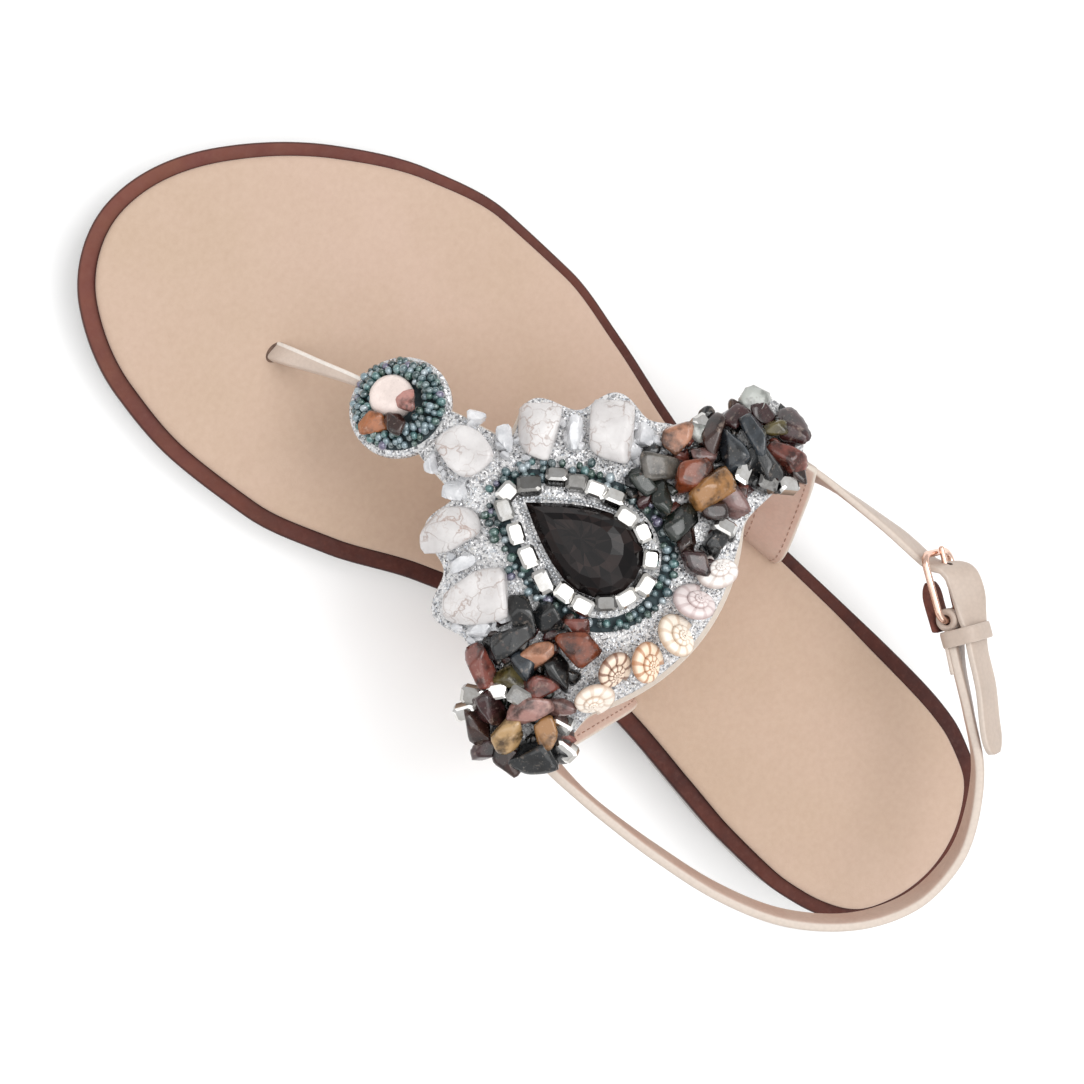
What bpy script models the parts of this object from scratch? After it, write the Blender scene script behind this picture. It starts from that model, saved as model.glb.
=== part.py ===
"""Toe post sandal for the right foot: a thin sole with a low heel, a beaded instep shield held by a
toe post and two side straps, and a heel strap that buckles on the outer side.

Metres, +Z up. The sandal stands on z = 0 with its toe towards -Y and its inner side towards +X.
Tables are in millimetres. A station is measured along the sole from the back of the heel, and a place
across is measured from the sole's centre line, positive towards the inner side of the foot.
"""

import math

import bmesh
import bpy
import numpy as np
from mathutils import Matrix, Vector

MM = 0.001
GAP = 0.3  # clearance between pieces that touch
UP = np.array([0.0, 0.0, 1.0])
ALONG = np.array([1.0, 0.0, 0.0])
ACROSS = np.array([0.0, 1.0, 0.0])

# Sole
HEEL_STATION = -3.2
TOE_STATION = 250.5
MID_STATION = 123.4
MID_ACROSS = -4.9
OUTLINE_POINTS = 84
MIDSOLE_THICK = 2.6
WALL_INSET = 0.2  # the wall's setback from the midsole's edge
TOP_FLARE = 0.3  # share of the flare left at the wall's top
TREAD_BEVEL = 1.4
TREAD_EDGE = 1.1
BOARD_BEVEL = 0.5
# inset from the free rim, height over the midsole: the sock's foot, belly, shoulder and top
SOCK_ROLL = ((0.2, GAP), (0.0, 1.3), (0.4, 2.0), (1.5, 2.3))
NOTCH_ROOM = 0.5
NOTCH_OUT = 1.0
NOTCH_DEPTH = 5.4
SLIT_LENGTH = 5.8
SLIT_ROOM = 0.7
CUT_HEIGHT = 16.0

# Instep shield
SHIELD_STATION = 120.0
SHIELD_WALL = 2.6
INSTEP_STATION = 92.0
INSTEP_HEIGHT = 62.0
INSTEP_FALL = 0.0036  # drop per square millimetre towards the toe
INSTEP_AXIS = 2.5
INSTEP_ARCH = 0.0055  # drop per square millimetre towards the sides
BODY_RADIUS = 35.2
SCALLOP = 2.2
SCALLOP_PERIOD = math.radians(30.0)
SCALLOP_END = math.radians(78.0)
BACK_ARC_STATION = 141.0
BACK_ARC_RADIUS = 50.0
SHIELD_ANGLES = 84
SHIELD_RINGS = (0.34, 0.66, 0.88, 1.0)

# Medallion and toe post
MEDALLION_STATION = 172.5
MEDALLION_ACROSS = 1.4
MEDALLION_RADIUS = 11.5
MEDALLION_PAD = 3.2
PAD_RISE = 0.3  # height of the pad over the shield
MEDALLION_RING = (8.9, 1.9)  # radius of the ring, radius of its bank of beads
MEDALLION_STONE = (11.2, 11.0, 5.0)
POST_WIDTH = 3.8
POST_THICK = 2.2
POST_SLIT = (200.6, 8.7)

# Straps
STRAP_WIDTH = 8.5
HEEL_STRAP_THICK = 2.6
FRONT_STRAP_THICK = 2.0
TAIL_TIP_WIDTH = 5.5
STRAP_FLATNESS = 0.45  # power that squares the oval section
SIDE_STRAP_WIDTH = 12.0
SIDE_STRAP_THICK = 2.2

# Buckle, placed by its pivot bar and the direction of its strap
PIVOT_STATION = 45.0
PIVOT_ACROSS = -45.0
STRAP_HEIGHT = 46.0
FRAME_LENGTH = 15.6
FRAME_LEAN = -45.0  # degrees, inwards as the loose end lies
FRAME_HEIGHT = 12.8
FRAME_CORNER = 2.6
WIRE_RADIUS = 0.9
EYE_RADIUS = 2.6
EYE_LENGTH = 8.1
BORE_LENGTH = 30.0
PRONG_RADIUS = 0.75
PRONG_ROOT = 1.3  # the rod's start out from the pivot bar's axis
PRONG_PAST = 1.2  # the rod's reach past the front bar
PRONG_COLLAR = 2.2
PRONG_WALL = 0.8
PRONG_SLOT = (8.0, 9.4, 3.0)  # out, along and across the strap
PRONG_SLOT_AHEAD = 2.0
HOLE_ROOM = 0.45
KEEPER_BACK = 3.7  # behind the pivot bar
KEEPER_OUT = 1.6
KEEPER_LENGTH = 4.6
KEEPER_ROOM = (10.4, 10.4)
KEEPER_WALL = 1.2
KEEPER_ROUND = 0.5

# Teardrop crystal and its rings
DROP_STATION = 125.5
DROP_ACROSS = -0.5
DROP_YAW = math.radians(4.5)
DROP_LENGTH = 29.2
DROP_WIDTH = 18.6
DROP_FULLNESS = 1.15
DROP_POINTS = 20
STONE_DENT = 0.07
STONE_FLAT = 0.62  # depth of the flat foot below a stone's middle
MIRROR_RING = (2.4, 1.4)  # distance outside the crystal, bead radius
SEED_RING = (5.3, 1.05)
RING_POINTS = 36

# station, inner edge, outer edge, rim left free beside the insole on the inner side and on the outer side
SOLE_EDGE = (
    (HEEL_STATION, -1.8, 1.8, 3.6, 3.6),
    (0.0, 12.6, 16.2, 3.6, 3.7),
    (6.0, 21.3, 25.0, 3.6, 3.8),
    (12.0, 24.7, 28.7, 3.5, 3.9),
    (20.0, 27.0, 31.8, 3.5, 4.0),
    (30.0, 28.1, 33.4, 3.6, 4.0),
    (45.0, 27.4, 34.4, 3.8, 3.8),
    (60.0, 25.3, 35.0, 4.0, 3.2),
    (80.0, 22.1, 35.9, 4.1, 3.0),
    (100.0, 20.2, 37.5, 4.2, 2.8),
    (120.0, 21.6, 42.3, 4.2, 2.5),
    (140.0, 27.3, 48.0, 4.1, 2.4),
    (160.0, 36.1, 52.2, 4.1, 2.4),
    (180.0, 41.7, 52.6, 4.0, 2.6),
    (200.0, 42.8, 47.9, 4.0, 2.9),
    (220.0, 40.0, 37.2, 4.2, 3.2),
    (240.0, 30.0, 18.4, 4.1, 3.5),
    (TOE_STATION, 8.3, -8.3, 3.8, 3.8),
)
# station, height of the midsole's top
FOOTBED = (
    (HEEL_STATION, 18.3),
    (30.0, 17.7),
    (60.0, 16.4),
    (90.0, 13.3),
    (120.0, 10.4),
    (150.0, 8.8),
    (180.0, 8.3),
    (205.0, 8.7),
    (230.0, 11.0),
    (TOE_STATION, 14.4),
)
# station, height of the tread: heel flat, heel breast, waist, forefoot flat, toe spring
TREAD = (
    (HEEL_STATION, 0.6),
    (2.0, 0.0),
    (66.0, 0.0),
    (73.0, 6.6),
    (90.0, 6.0),
    (120.0, 2.6),
    (148.0, 0.0),
    (206.0, 0.0),
    (230.0, 2.2),
    (TOE_STATION, 6.4),
)
# station, how far the foot of the wall stands out
WALL_FLARE = (
    (HEEL_STATION, 0.8),
    (20.0, 0.2),
    (60.0, -0.6),
    (95.0, -0.6),
    (130.0, 0.0),
    (TOE_STATION, 0.2),
)
# angle from the toe direction in degrees, reach beyond the body, half spread in degrees
SHIELD_LOBES = (
    (1.6, 11.5, 11.5),  # neck
    (107.0, 13.5, 15.5),  # inner wing
    (-106.5, 22.0, 14.0),  # outer wing
)

# station, across, height: centre line of each strap of the upper
POST_PATH = (
    (178.4, 1.6, 34.4),
    (185.0, 3.5, 28.6),
    (192.0, 5.8, 20.6),
    (197.6, 7.7, 14.4),
    (200.6, 8.7, 9.2),
)
INNER_PATH = (
    (88.0, 15.9, 14.0),
    (88.7, 17.0, 20.0),
    (93.4, 24.0, 30.0),
    (99.6, 33.4, 42.0),
    (104.4, 38.2, 51.2),
)
OUTER_PATH = (
    (83.8, -31.7, 14.5),
    (84.5, -32.8, 20.4),
    (88.9, -38.6, 29.0),
    (94.0, -44.4, 39.0),
    (98.0, -47.6, 46.4),
)
# station, across, height, outward lean in degrees
HEEL_STRAP = (
    (107.0, 39.2, 45.6, 27.0),
    (101.0, 39.2, 45.6, 25.0),
    (94.0, 40.4, 45.6, 16.0),
    (86.0, 41.0, 45.7, 8.0),
    (78.0, 41.0, 45.8, 7.0),
    (64.0, 40.1, 46.0, 10.0),
    (47.2, 37.8, 46.4, 10.0),
    (31.4, 32.6, 46.8, 8.0),
    (18.2, 23.2, 47.2, 4.0),
    (10.4, 11.6, 47.5, 2.0),
    (8.4, 0.0, 47.5, -3.0),
    (10.4, -10.2, 47.3, -8.0),
    (17.7, -22.4, 47.0, -14.0),
    (28.0, -31.0, 46.6, -20.0),
    (37.0, -37.8, 46.3, -27.0),
    (PIVOT_STATION, PIVOT_ACROSS, STRAP_HEIGHT, FRAME_LEAN),
)
STRAP_TAIL = (
    (18.4, -27.4, 50.4, -46.0),
    (23.8, -31.8, 50.4, -46.0),
    (30.0, -37.4, 50.4, -46.0),
)
STRAP_TO_WING = (
    (65.3, -52.5, 42.3, -36.0),
    (71.2, -51.7, 42.2, -26.0),
    (80.6, -50.7, 41.4, -14.0),
    (88.0, -49.6, 40.4, 0.0),
    (95.0, -48.0, 39.4, 20.0),
    (101.0, -47.7, 39.4, 25.0),
)
# along the buckle from its pivot bar, out from its plane: the front strap's way through the frame
STRAP_RUN = (
    (-9.0, 3.8),
    (-4.6, 4.6),
    (0.0, 5.6),
    (4.6, 6.6),
    (8.6, 6.0),
    (11.2, 3.2),
    (12.4, 0.2),
    (14.4, -2.4),
    (18.4, -2.7),
)

# station, across, yaw in degrees, length, width, height
NUGGETS = (
    (155.1, 0.4, -15.0, 12.2, 10.2, 5.0),
    (146.1, -13.0, -50.0, 13.4, 9.6, 5.2),
    (134.3, -22.6, -52.0, 14.2, 10.2, 5.4),
    (147.3, 15.4, 41.0, 13.6, 10.2, 5.2),
    (134.1, 22.8, 45.0, 14.4, 12.2, 5.6),
)
CRYSTALS = (
    (150.6, -7.0, -30.0, 5.0, 3.4, 3.0),
    (140.4, -17.6, -50.0, 6.6, 3.4, 3.2),
    (151.6, 8.2, 30.0, 4.8, 3.4, 3.0),
    (140.9, 19.0, 61.0, 5.2, 2.2, 3.0),
)
CHIPS = (
    (122.8, -31.4, 71.0, 6.6, 5.4, 5.0),
    (122.2, -23.6, 51.0, 7.0, 5.0, 4.8),
    (115.4, -27.6, 76.0, 7.4, 5.2, 5.2),
    (109.4, -27.4, 71.0, 7.6, 5.0, 5.2),
    (117.6, -18.6, -40.0, 6.6, 4.0, 4.6),
    (111.2, -18.2, 81.0, 6.6, 4.6, 4.8),
    (103.6, -28.8, 60.0, 6.2, 4.8, 4.8),
    (104.2, -14.2, -30.0, 5.6, 4.0, 4.2),
    (113.6, -49.2, -79.0, 6.4, 5.4, 5.4),
    (117.8, -38.2, -79.0, 7.4, 4.6, 5.4),
    (111.6, -36.6, -45.0, 7.0, 4.2, 6.0),
    (109.0, -43.2, -30.0, 7.2, 4.4, 6.2),
    (104.0, -50.6, -40.0, 7.4, 5.2, 6.0),
    (100.6, -44.4, 0.0, 7.2, 4.4, 5.6),
    (104.0, -38.2, -20.0, 6.6, 4.6, 5.4),
    (124.0, 19.8, -45.0, 6.4, 4.4, 4.8),
    (123.2, 28.2, 41.0, 6.8, 4.6, 5.0),
    (117.2, 24.6, 81.0, 7.0, 5.0, 4.8),
    (111.4, 17.4, -10.0, 7.0, 5.2, 5.0),
    (110.6, 24.8, -35.0, 6.8, 4.4, 5.0),
    (116.6, 31.8, 21.0, 6.6, 4.8, 5.0),
    (110.2, 33.0, 71.0, 7.2, 4.8, 5.2),
    (115.8, 40.6, -20.0, 7.0, 5.4, 5.6),
    (109.2, 40.4, -79.0, 6.8, 5.0, 6.0),
    (104.0, 34.8, -30.0, 6.6, 5.0, 5.6),
    (102.4, 42.0, 71.0, 7.2, 5.4, 6.0),
    (105.0, 28.6, 61.0, 5.8, 4.4, 4.8),
)
# scale of the outline, height, turn in steps: the crystal's base, girdle, crown and table
DROP_LEVELS = (
    (0.9, 0.0, 0.0),
    (1.0, 1.6, 0.0),
    (0.74, 3.9, 0.5),
    (0.46, 5.0, 0.0),
)
# station, across, radius, height
SHELLS = (
    (102.0, 22.4, 3.3, 4.4),
    (103.2, 15.6, 3.1, 4.4),
    (98.9, 10.6, 3.2, 4.6),
    (97.4, 2.6, 3.6, 4.6),
    (98.4, -5.2, 3.5, 4.4),
    (98.0, -13.6, 3.2, 4.2),
)
# fraction of the shell's radius, fraction of its height: three whorls from the apex down
WHORLS = (
    (0.0, 1.0),
    (0.28, 0.92),
    (0.38, 0.68),
    (0.66, 0.58),
    (0.72, 0.36),
    (0.98, 0.24),
    (0.9, 0.0),
    (0.0, 0.0),
)


for old in list(bpy.data.objects):
    bpy.data.objects.remove(old, do_unlink=True)

PARTS = bpy.data.collections.new("toe_post_sandal")
CUTTERS = bpy.data.collections.new("cutters")
bpy.context.scene.collection.children.link(PARTS)
bpy.context.scene.collection.children.link(CUTTERS)


def finish(name, colour, roughness, metallic=0.0):
    """A material with one Principled BSDF."""
    made = bpy.data.materials.new(name)
    made.use_nodes = True
    shader = made.node_tree.nodes["Principled BSDF"]
    shader.inputs["Base Color"].default_value = (*colour, 1.0)
    shader.inputs["Roughness"].default_value = roughness
    shader.inputs["Metallic"].default_value = metallic
    made.diffuse_color = (*colour, 1.0)
    return made


GREY_SOLE = finish("grey_sole", (0.50, 0.50, 0.52), 0.35)
BROWN_BOARD = finish("brown_board", (0.16, 0.05, 0.035), 0.5)
TAN_SUEDE = finish("tan_suede", (0.60, 0.43, 0.32), 0.9)
BEIGE_LEATHER = finish("beige_leather", (0.66, 0.54, 0.44), 0.55)
ROSE_GOLD = finish("rose_gold", (0.85, 0.55, 0.42), 0.22, 1.0)
SMOKY_CRYSTAL = finish("smoky_crystal", (0.02, 0.018, 0.02), 0.05)
MIRROR_SILVER = finish("mirror_silver", (0.85, 0.86, 0.88), 0.1, 1.0)
TEAL_BEAD = finish("teal_bead", (0.10, 0.19, 0.21), 0.25)
WHITE_STONE = finish("white_stone", (0.82, 0.82, 0.80), 0.3)
CLEAR_CRYSTAL = finish("clear_crystal", (0.80, 0.82, 0.84), 0.1)
SHELL_CREAM = finish("shell_cream", (0.70, 0.56, 0.44), 0.35)
DARK_CHIP = finish("dark_chip", (0.06, 0.04, 0.04), 0.25)


def in_metres(points):
    """Places given as station, across and height, turned into x, y and z in metres."""
    points = np.asarray(points, float)
    turned = np.stack(
        [points[..., 1] - MID_ACROSS, MID_STATION - points[..., 0], points[..., 2]], axis=-1
    )
    return turned * MM


def direction(vector):
    """A direction in station, across and height, turned into x, y and z."""
    return Vector((vector[1], -vector[0], vector[2]))


def unit(vectors):
    vectors = np.asarray(vectors, float)
    return vectors / np.linalg.norm(vectors, axis=-1, keepdims=True)


def eased(table, at, column=1):
    """A column of a table as a smooth curve over its first one: no overshoot, level runs stay level."""
    table = np.array(table, float)
    knots, values = table[:, 0], table[:, column]
    step = np.diff(knots)
    rise = np.diff(values) / step
    both = rise[:-1] * rise[1:]
    total = np.where(both > 0.0, rise[:-1] + rise[1:], 1.0)
    inner = np.where(both > 0.0, 2.0 * both / total, 0.0)
    slope = np.concatenate([rise[:1], inner, rise[-1:]])
    at = np.clip(at, knots[0], knots[-1])
    i = np.clip(np.searchsorted(knots, at, side="right") - 1, 0, len(step) - 1)
    h = step[i]
    t = (at - knots[i]) / h
    start = (1.0 + 2.0 * t) * (1.0 - t) ** 2 * values[i] + t * (1.0 - t) ** 2 * h * slope[i]
    end = t * t * (3.0 - 2.0 * t) * values[i + 1] + t * t * (t - 1.0) * h * slope[i + 1]
    return start + end


def through(rows, steps):
    """The rows of a table joined by a smooth curve that passes through each of them."""
    rows = np.array(rows, float)
    longer = np.vstack([2.0 * rows[0] - rows[1], rows, 2.0 * rows[-1] - rows[-2]])
    t = np.linspace(0.0, 1.0, steps, endpoint=False)[:, None]
    runs = []
    for a, b, c, d in zip(longer[:-3], longer[1:-2], longer[2:-1], longer[3:]):
        bend = (2.0 * a - 5.0 * b + 4.0 * c - d) * t**2 + (3.0 * b - a - 3.0 * c + d) * t**3
        runs.append(0.5 * (2.0 * b + (c - a) * t + bend))
    return np.vstack(runs + [rows[-1:]])


def keep(obj, collection, material=None):
    """Puts an object in one collection only and gives it its material."""
    for holder in list(obj.users_collection):
        holder.objects.unlink(obj)
    collection.objects.link(obj)
    if material is not None:
        obj.data.materials.clear()
        obj.data.materials.append(material)
    if collection is CUTTERS:
        obj.hide_render = True
        obj.display_type = "WIRE"
    return obj


def mesh_object(name, points, faces, collection, material=None, closed=True):
    """A smooth-shaded mesh object from points in metres."""
    mesh = bpy.data.meshes.new(name)
    mesh.from_pydata([tuple(p) for p in points], [], faces)
    if closed:
        work = bmesh.new()
        work.from_mesh(mesh)
        bmesh.ops.recalc_face_normals(work, faces=work.faces)
        work.to_mesh(mesh)
        work.free()
    mesh.shade_smooth()
    mesh.set_sharp_from_angle(angle=math.radians(40.0))
    return keep(bpy.data.objects.new(name, mesh), collection, material)


def boolean(obj, other, operation):
    """Joins or cuts an object with another one by an exact Boolean."""
    step = obj.modifiers.new(f"{operation.lower()}_{other.name}", "BOOLEAN")
    step.operation = operation
    step.object = other
    step.solver = "EXACT"


def cylinder(name, start, end, radius, sides, collection, material=None):
    """A closed cylinder between two places given as station, across and height."""
    start = Vector(in_metres(start))
    end = Vector(in_metres(end))
    bpy.ops.mesh.primitive_cylinder_add(vertices=sides, radius=radius * MM, depth=(end - start).length)
    obj = bpy.context.object
    obj.name = name
    obj.location = (start + end) / 2.0
    obj.rotation_euler = (end - start).to_track_quat("Z", "Y").to_euler()
    return keep(obj, collection, material)


def block(name, centre, axes, sizes, collection, material=None):
    """A closed box from its centre, three unit axes and three sizes."""
    bpy.ops.mesh.primitive_cube_add(size=1.0)
    obj = bpy.context.object
    obj.name = name
    obj.data.transform(Matrix.Diagonal((*[size * MM for size in sizes], 1.0)))
    turn = Matrix([direction(axis) for axis in axes]).transposed()
    obj.matrix_world = Matrix.Translation(in_metres(centre)) @ turn.to_4x4()
    return keep(obj, collection, material)


# Sole


def sole_outline():
    """The sole's outline as a loop from the heel up the inner side and back down the outer side.

    The station runs as half a cosine, so that both ends come out round. Returned with the loop are its
    outward normals and the width of the rim at each point.
    """
    half = OUTLINE_POINTS // 2
    length = TOE_STATION - HEEL_STATION
    phase = np.linspace(0.0, math.pi, half + 1)
    station = HEEL_STATION + length / 2.0 * (1.0 - np.cos(phase))
    rows = np.array(SOLE_EDGE)
    rows[:, 0] = np.arccos(1.0 - 2.0 * (rows[:, 0] - HEEL_STATION) / length)
    inner = np.column_stack([station, eased(rows, phase, 1), eased(rows, phase, 3)])
    outer = np.column_stack([station, -eased(rows, phase, 2), eased(rows, phase, 4)])
    loop = np.vstack([inner, outer[-2:0:-1]])
    edge = loop[:, :2]
    tangent = unit(np.roll(edge, -1, axis=0) - np.roll(edge, 1, axis=0))
    return edge, np.column_stack([-tangent[:, 1], tangent[:, 0]]), loop[:, 2]


OUTLINE, OUTLINE_NORMAL, RIM = sole_outline()


def sole_ring(inset, height):
    """The outline moved inwards, at a height that is a function of the station."""
    loop = OUTLINE - OUTLINE_NORMAL * np.reshape(inset, (-1, 1))
    return np.column_stack([loop, height(loop[:, 0])])


def sole_layer(name, rings, material):
    """A closed layer: rings from the bottom up, with flat rungs across the first and the last one."""
    count = OUTLINE_POINTS
    half = count // 2
    faces = []
    for level in range(len(rings) - 1):
        low = level * count
        for i in range(count):
            j = (i + 1) % count
            faces.append((low + i, low + j, low + count + j, low + count + i))
    for base in (0, (len(rings) - 1) * count):
        faces.append((base, base + 1, base + count - 1))
        faces.append((base + half - 1, base + half, base + half + 1))
        for i in range(1, half - 1):
            faces.append((base + i, base + i + 1, base + count - i - 1, base + count - i))
    return mesh_object(name, in_metres(np.vstack(rings)), faces, PARTS, material)


def footbed(station):
    return eased(FOOTBED, station)


def tread(station):
    return eased(TREAD, station)


def make_outsole():
    """Moulded unit: bevelled tread edge, wall flared a little at heel and toe, flat top."""
    top = MIDSOLE_THICK + GAP
    flare = eased(WALL_FLARE, OUTLINE[:, 0])
    sole_layer(
        "outsole",
        [
            sole_ring(WALL_INSET + TREAD_BEVEL - flare, tread),
            sole_ring(WALL_INSET - flare, lambda s: tread(s) + TREAD_EDGE),
            sole_ring(WALL_INSET - TOP_FLARE * flare, lambda s: footbed(s) - top - BOARD_BEVEL),
            sole_ring(WALL_INSET + BOARD_BEVEL, lambda s: footbed(s) - top),
        ],
        GREY_SOLE,
    )


def make_midsole():
    """Thin board whose bevelled edge shows as the rim."""
    low = -MIDSOLE_THICK
    sole_layer(
        "midsole",
        [
            sole_ring(BOARD_BEVEL, lambda s: footbed(s) + low),
            sole_ring(0.0, lambda s: footbed(s) + low + BOARD_BEVEL),
            sole_ring(0.0, lambda s: footbed(s) - BOARD_BEVEL),
            sole_ring(BOARD_BEVEL, footbed),
        ],
        BROWN_BOARD,
    )


def make_insole():
    """Soft sock with a rolled edge, slit for the toe post and notched for both side straps."""
    foot, belly, shoulder, top = SOCK_ROLL
    insole = sole_layer(
        "insole",
        [
            sole_ring(RIM + foot[0], lambda s: footbed(s) + foot[1]),
            sole_ring(RIM + belly[0], lambda s: footbed(s) + belly[1]),
            sole_ring(RIM + shoulder[0], lambda s: footbed(s) + shoulder[1]),
            sole_ring(RIM + top[0], lambda s: footbed(s) + top[1]),
        ],
        TAN_SUEDE,
    )
    notch = SIDE_STRAP_WIDTH + 2.0 * NOTCH_ROOM
    cuts = (
        ("post_slit", POST_SLIT, 0.0, SLIT_LENGTH, POST_WIDTH + 2.0 * SLIT_ROOM),
        ("inner_notch", INNER_PATH[0][:2], NOTCH_OUT, notch, NOTCH_DEPTH),
        ("outer_notch", OUTER_PATH[0][:2], -NOTCH_OUT, notch, NOTCH_DEPTH),
    )
    for name, (station, across), shift, length, width in cuts:
        centre = (station, across + shift, footbed(station))
        cutter = block(name, centre, (ALONG, ACROSS, UP), (length, width, CUT_HEIGHT), CUTTERS)
        boolean(insole, cutter, "DIFFERENCE")


# Upper


def shield_height(station, across):
    """Top of the shield: a saddle that falls towards the toe and to both sides, as the instep does."""
    fall = INSTEP_FALL * (station - INSTEP_STATION) ** 2
    return INSTEP_HEIGHT - fall - INSTEP_ARCH * (across - INSTEP_AXIS) ** 2


def shield_radius(angle):
    """Plan outline round the shield's centre: a scalloped circle, the back arc, a neck and two wings."""
    body = BODY_RADIUS + SCALLOP * np.cos(2.0 * math.pi * angle / SCALLOP_PERIOD)
    body = np.where(np.abs(angle) < SCALLOP_END, body, BODY_RADIUS)
    setback = BACK_ARC_STATION - SHIELD_STATION
    ahead = setback * np.cos(angle)
    back = ahead + np.sqrt(ahead**2 + BACK_ARC_RADIUS**2 - setback**2)
    radius = np.minimum(body, back)
    for centre, reach, spread in SHIELD_LOBES:
        off = np.remainder(np.degrees(angle) - centre + 180.0, 360.0) - 180.0
        radius = radius + reach * np.exp(-((off / spread) ** 4))
    return radius


def make_shield():
    """The shield's open top surface in rings round its centre, given its wall by Solidify."""
    angle = np.linspace(-math.pi, math.pi, SHIELD_ANGLES, endpoint=False)
    radius = shield_radius(angle)
    reach = np.outer(SHIELD_RINGS, radius)
    station = np.append(SHIELD_STATION + reach * np.cos(angle), SHIELD_STATION)
    across = np.append(reach * np.sin(angle), 0.0)
    points = np.column_stack([station, across, shield_height(station, across)])
    count = SHIELD_ANGLES
    faces = []
    for i in range(count):
        j = (i + 1) % count
        faces.append((len(points) - 1, i, j))
        for ring in range(len(SHIELD_RINGS) - 1):
            low = ring * count
            faces.append((low + i, low + count + i, low + count + j, low + j))
    shield = mesh_object("upper", in_metres(points), faces, PARTS, BEIGE_LEATHER, closed=False)
    wall = shield.modifiers.new("wall", "SOLIDIFY")
    wall.thickness = SHIELD_WALL * MM
    wall.offset = -1.0
    return shield


def seat(station, across, lift=0.0):
    """Place and outward normal of the shield's surface, raised along that normal."""
    d = 0.01
    slope_along = (shield_height(station + d, across) - shield_height(station - d, across)) / (2.0 * d)
    slope_across = (shield_height(station, across + d) - shield_height(station, across - d)) / (2.0 * d)
    normal = unit([-slope_along, -slope_across, 1.0])
    return np.array([station, across, shield_height(station, across)]) + normal * lift, normal


def seat_matrix(station, across, yaw, lift):
    """World matrix on the shield's surface: Z along the normal, X turned by yaw from the toe direction."""
    place, normal = seat(station, across, lift)
    ahead = np.array([math.cos(yaw), math.sin(yaw), 0.0])
    ahead = unit(ahead - normal * (ahead @ normal))
    side = np.cross(normal, ahead)
    turn = Matrix([direction(ahead), direction(side), direction(normal)]).transposed()
    return Matrix.Translation(in_metres(place)) @ turn.to_4x4()


def ribbon(name, path, width_axis, width, thickness, collection, material, sides=12):
    """A strap: a flat oval section carried along a path, its width held to an axis at each point."""
    tangent = unit(np.gradient(path, axis=0))
    broad = unit(width_axis - tangent * np.sum(width_axis * tangent, axis=1, keepdims=True))
    thick = np.cross(tangent, broad)
    turn = np.linspace(0.0, 2.0 * math.pi, sides, endpoint=False) + math.pi / sides
    oval = np.column_stack([np.cos(turn), np.sin(turn)])
    oval = np.sign(oval) * np.abs(oval) ** STRAP_FLATNESS
    a = oval[None, :, 0, None] * np.reshape(width, (-1, 1, 1)) / 2.0
    b = oval[None, :, 1, None] * thickness / 2.0
    points = path[:, None] + a * broad[:, None] + b * thick[:, None]
    rows = len(path)
    faces = [tuple(range(sides)), tuple(range((rows - 1) * sides, rows * sides))]
    for row in range(rows - 1):
        low = row * sides
        for i in range(sides):
            j = (i + 1) % sides
            faces.append((low + i, low + j, low + sides + j, low + sides + i))
    return mesh_object(name, in_metres(points.reshape(-1, 3)), faces, collection, material)


def standing_rows(table):
    """Rows of a strap on edge: its place and its width axis, upright but for the lean."""
    table = np.array(table, float)
    path = table[:, :3]
    lean = np.radians(table[:, 3:4])
    outward = unit(np.cross(np.gradient(path, axis=0), UP))
    return np.hstack([path, np.cos(lean) * UP + np.sin(lean) * outward])


def standing_strap(name, rows, width, thickness):
    """A strap carried through rows of places and width axes, with a section more between each two rows."""
    rows = through(rows, 2)
    return ribbon(name, rows[:, :3], rows[:, 3:], width, thickness, PARTS, BEIGE_LEATHER, 10)


def make_upper():
    """Shield, medallion pad, toe post and side straps joined into one wall."""
    upper = make_shield()
    top, normal = seat(MEDALLION_STATION, MEDALLION_ACROSS, PAD_RISE)
    pad = cylinder("medallion_pad", top - normal * MEDALLION_PAD, top, MEDALLION_RADIUS, 32, CUTTERS)
    boolean(upper, pad, "UNION")
    straps = (
        ("post", POST_PATH, ACROSS, POST_WIDTH, POST_THICK, 10),
        ("inner_side", INNER_PATH, ALONG, SIDE_STRAP_WIDTH, SIDE_STRAP_THICK, 12),
        ("outer_side", OUTER_PATH, ALONG, SIDE_STRAP_WIDTH, SIDE_STRAP_THICK, 12),
    )
    for name, table, axis, width, thickness, sides in straps:
        path = through(table, 3)
        axes = np.tile(axis, (len(path), 1))
        boolean(upper, ribbon(name, path, axes, width, thickness, CUTTERS, None, sides), "UNION")


# Straps and buckle

PIVOT = np.array([PIVOT_STATION, PIVOT_ACROSS, STRAP_HEIGHT])
FORWARD = unit([0.8, -0.58, -0.16])
OUTWARD = unit(np.cross(FORWARD, UP))
UPRIGHT = np.cross(OUTWARD, FORWARD)
FRAME_UP = math.cos(math.radians(FRAME_LEAN)) * UPRIGHT + math.sin(math.radians(FRAME_LEAN)) * OUTWARD
FACE_OUT = np.cross(FORWARD, FRAME_UP)


def along_pivot(name, radius, length, sides, collection, material=None):
    """A cylinder on the pivot bar's axis."""
    ends = [PIVOT + FRAME_UP * (side * length / 2.0) for side in (-1.0, 1.0)]
    return cylinder(name, ends[0], ends[1], radius, sides, collection, material)


def prong_rod(name, radius):
    """A rod from the pivot bar over the front bar, on the outer face of the frame."""
    lift = WIRE_RADIUS + PRONG_RADIUS + GAP / 2.0
    start = PIVOT + FACE_OUT * PRONG_ROOT
    end = PIVOT + FORWARD * (FRAME_LENGTH + PRONG_PAST) + FACE_OUT * lift
    return cylinder(name, start, end, radius, 10, CUTTERS)


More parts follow.
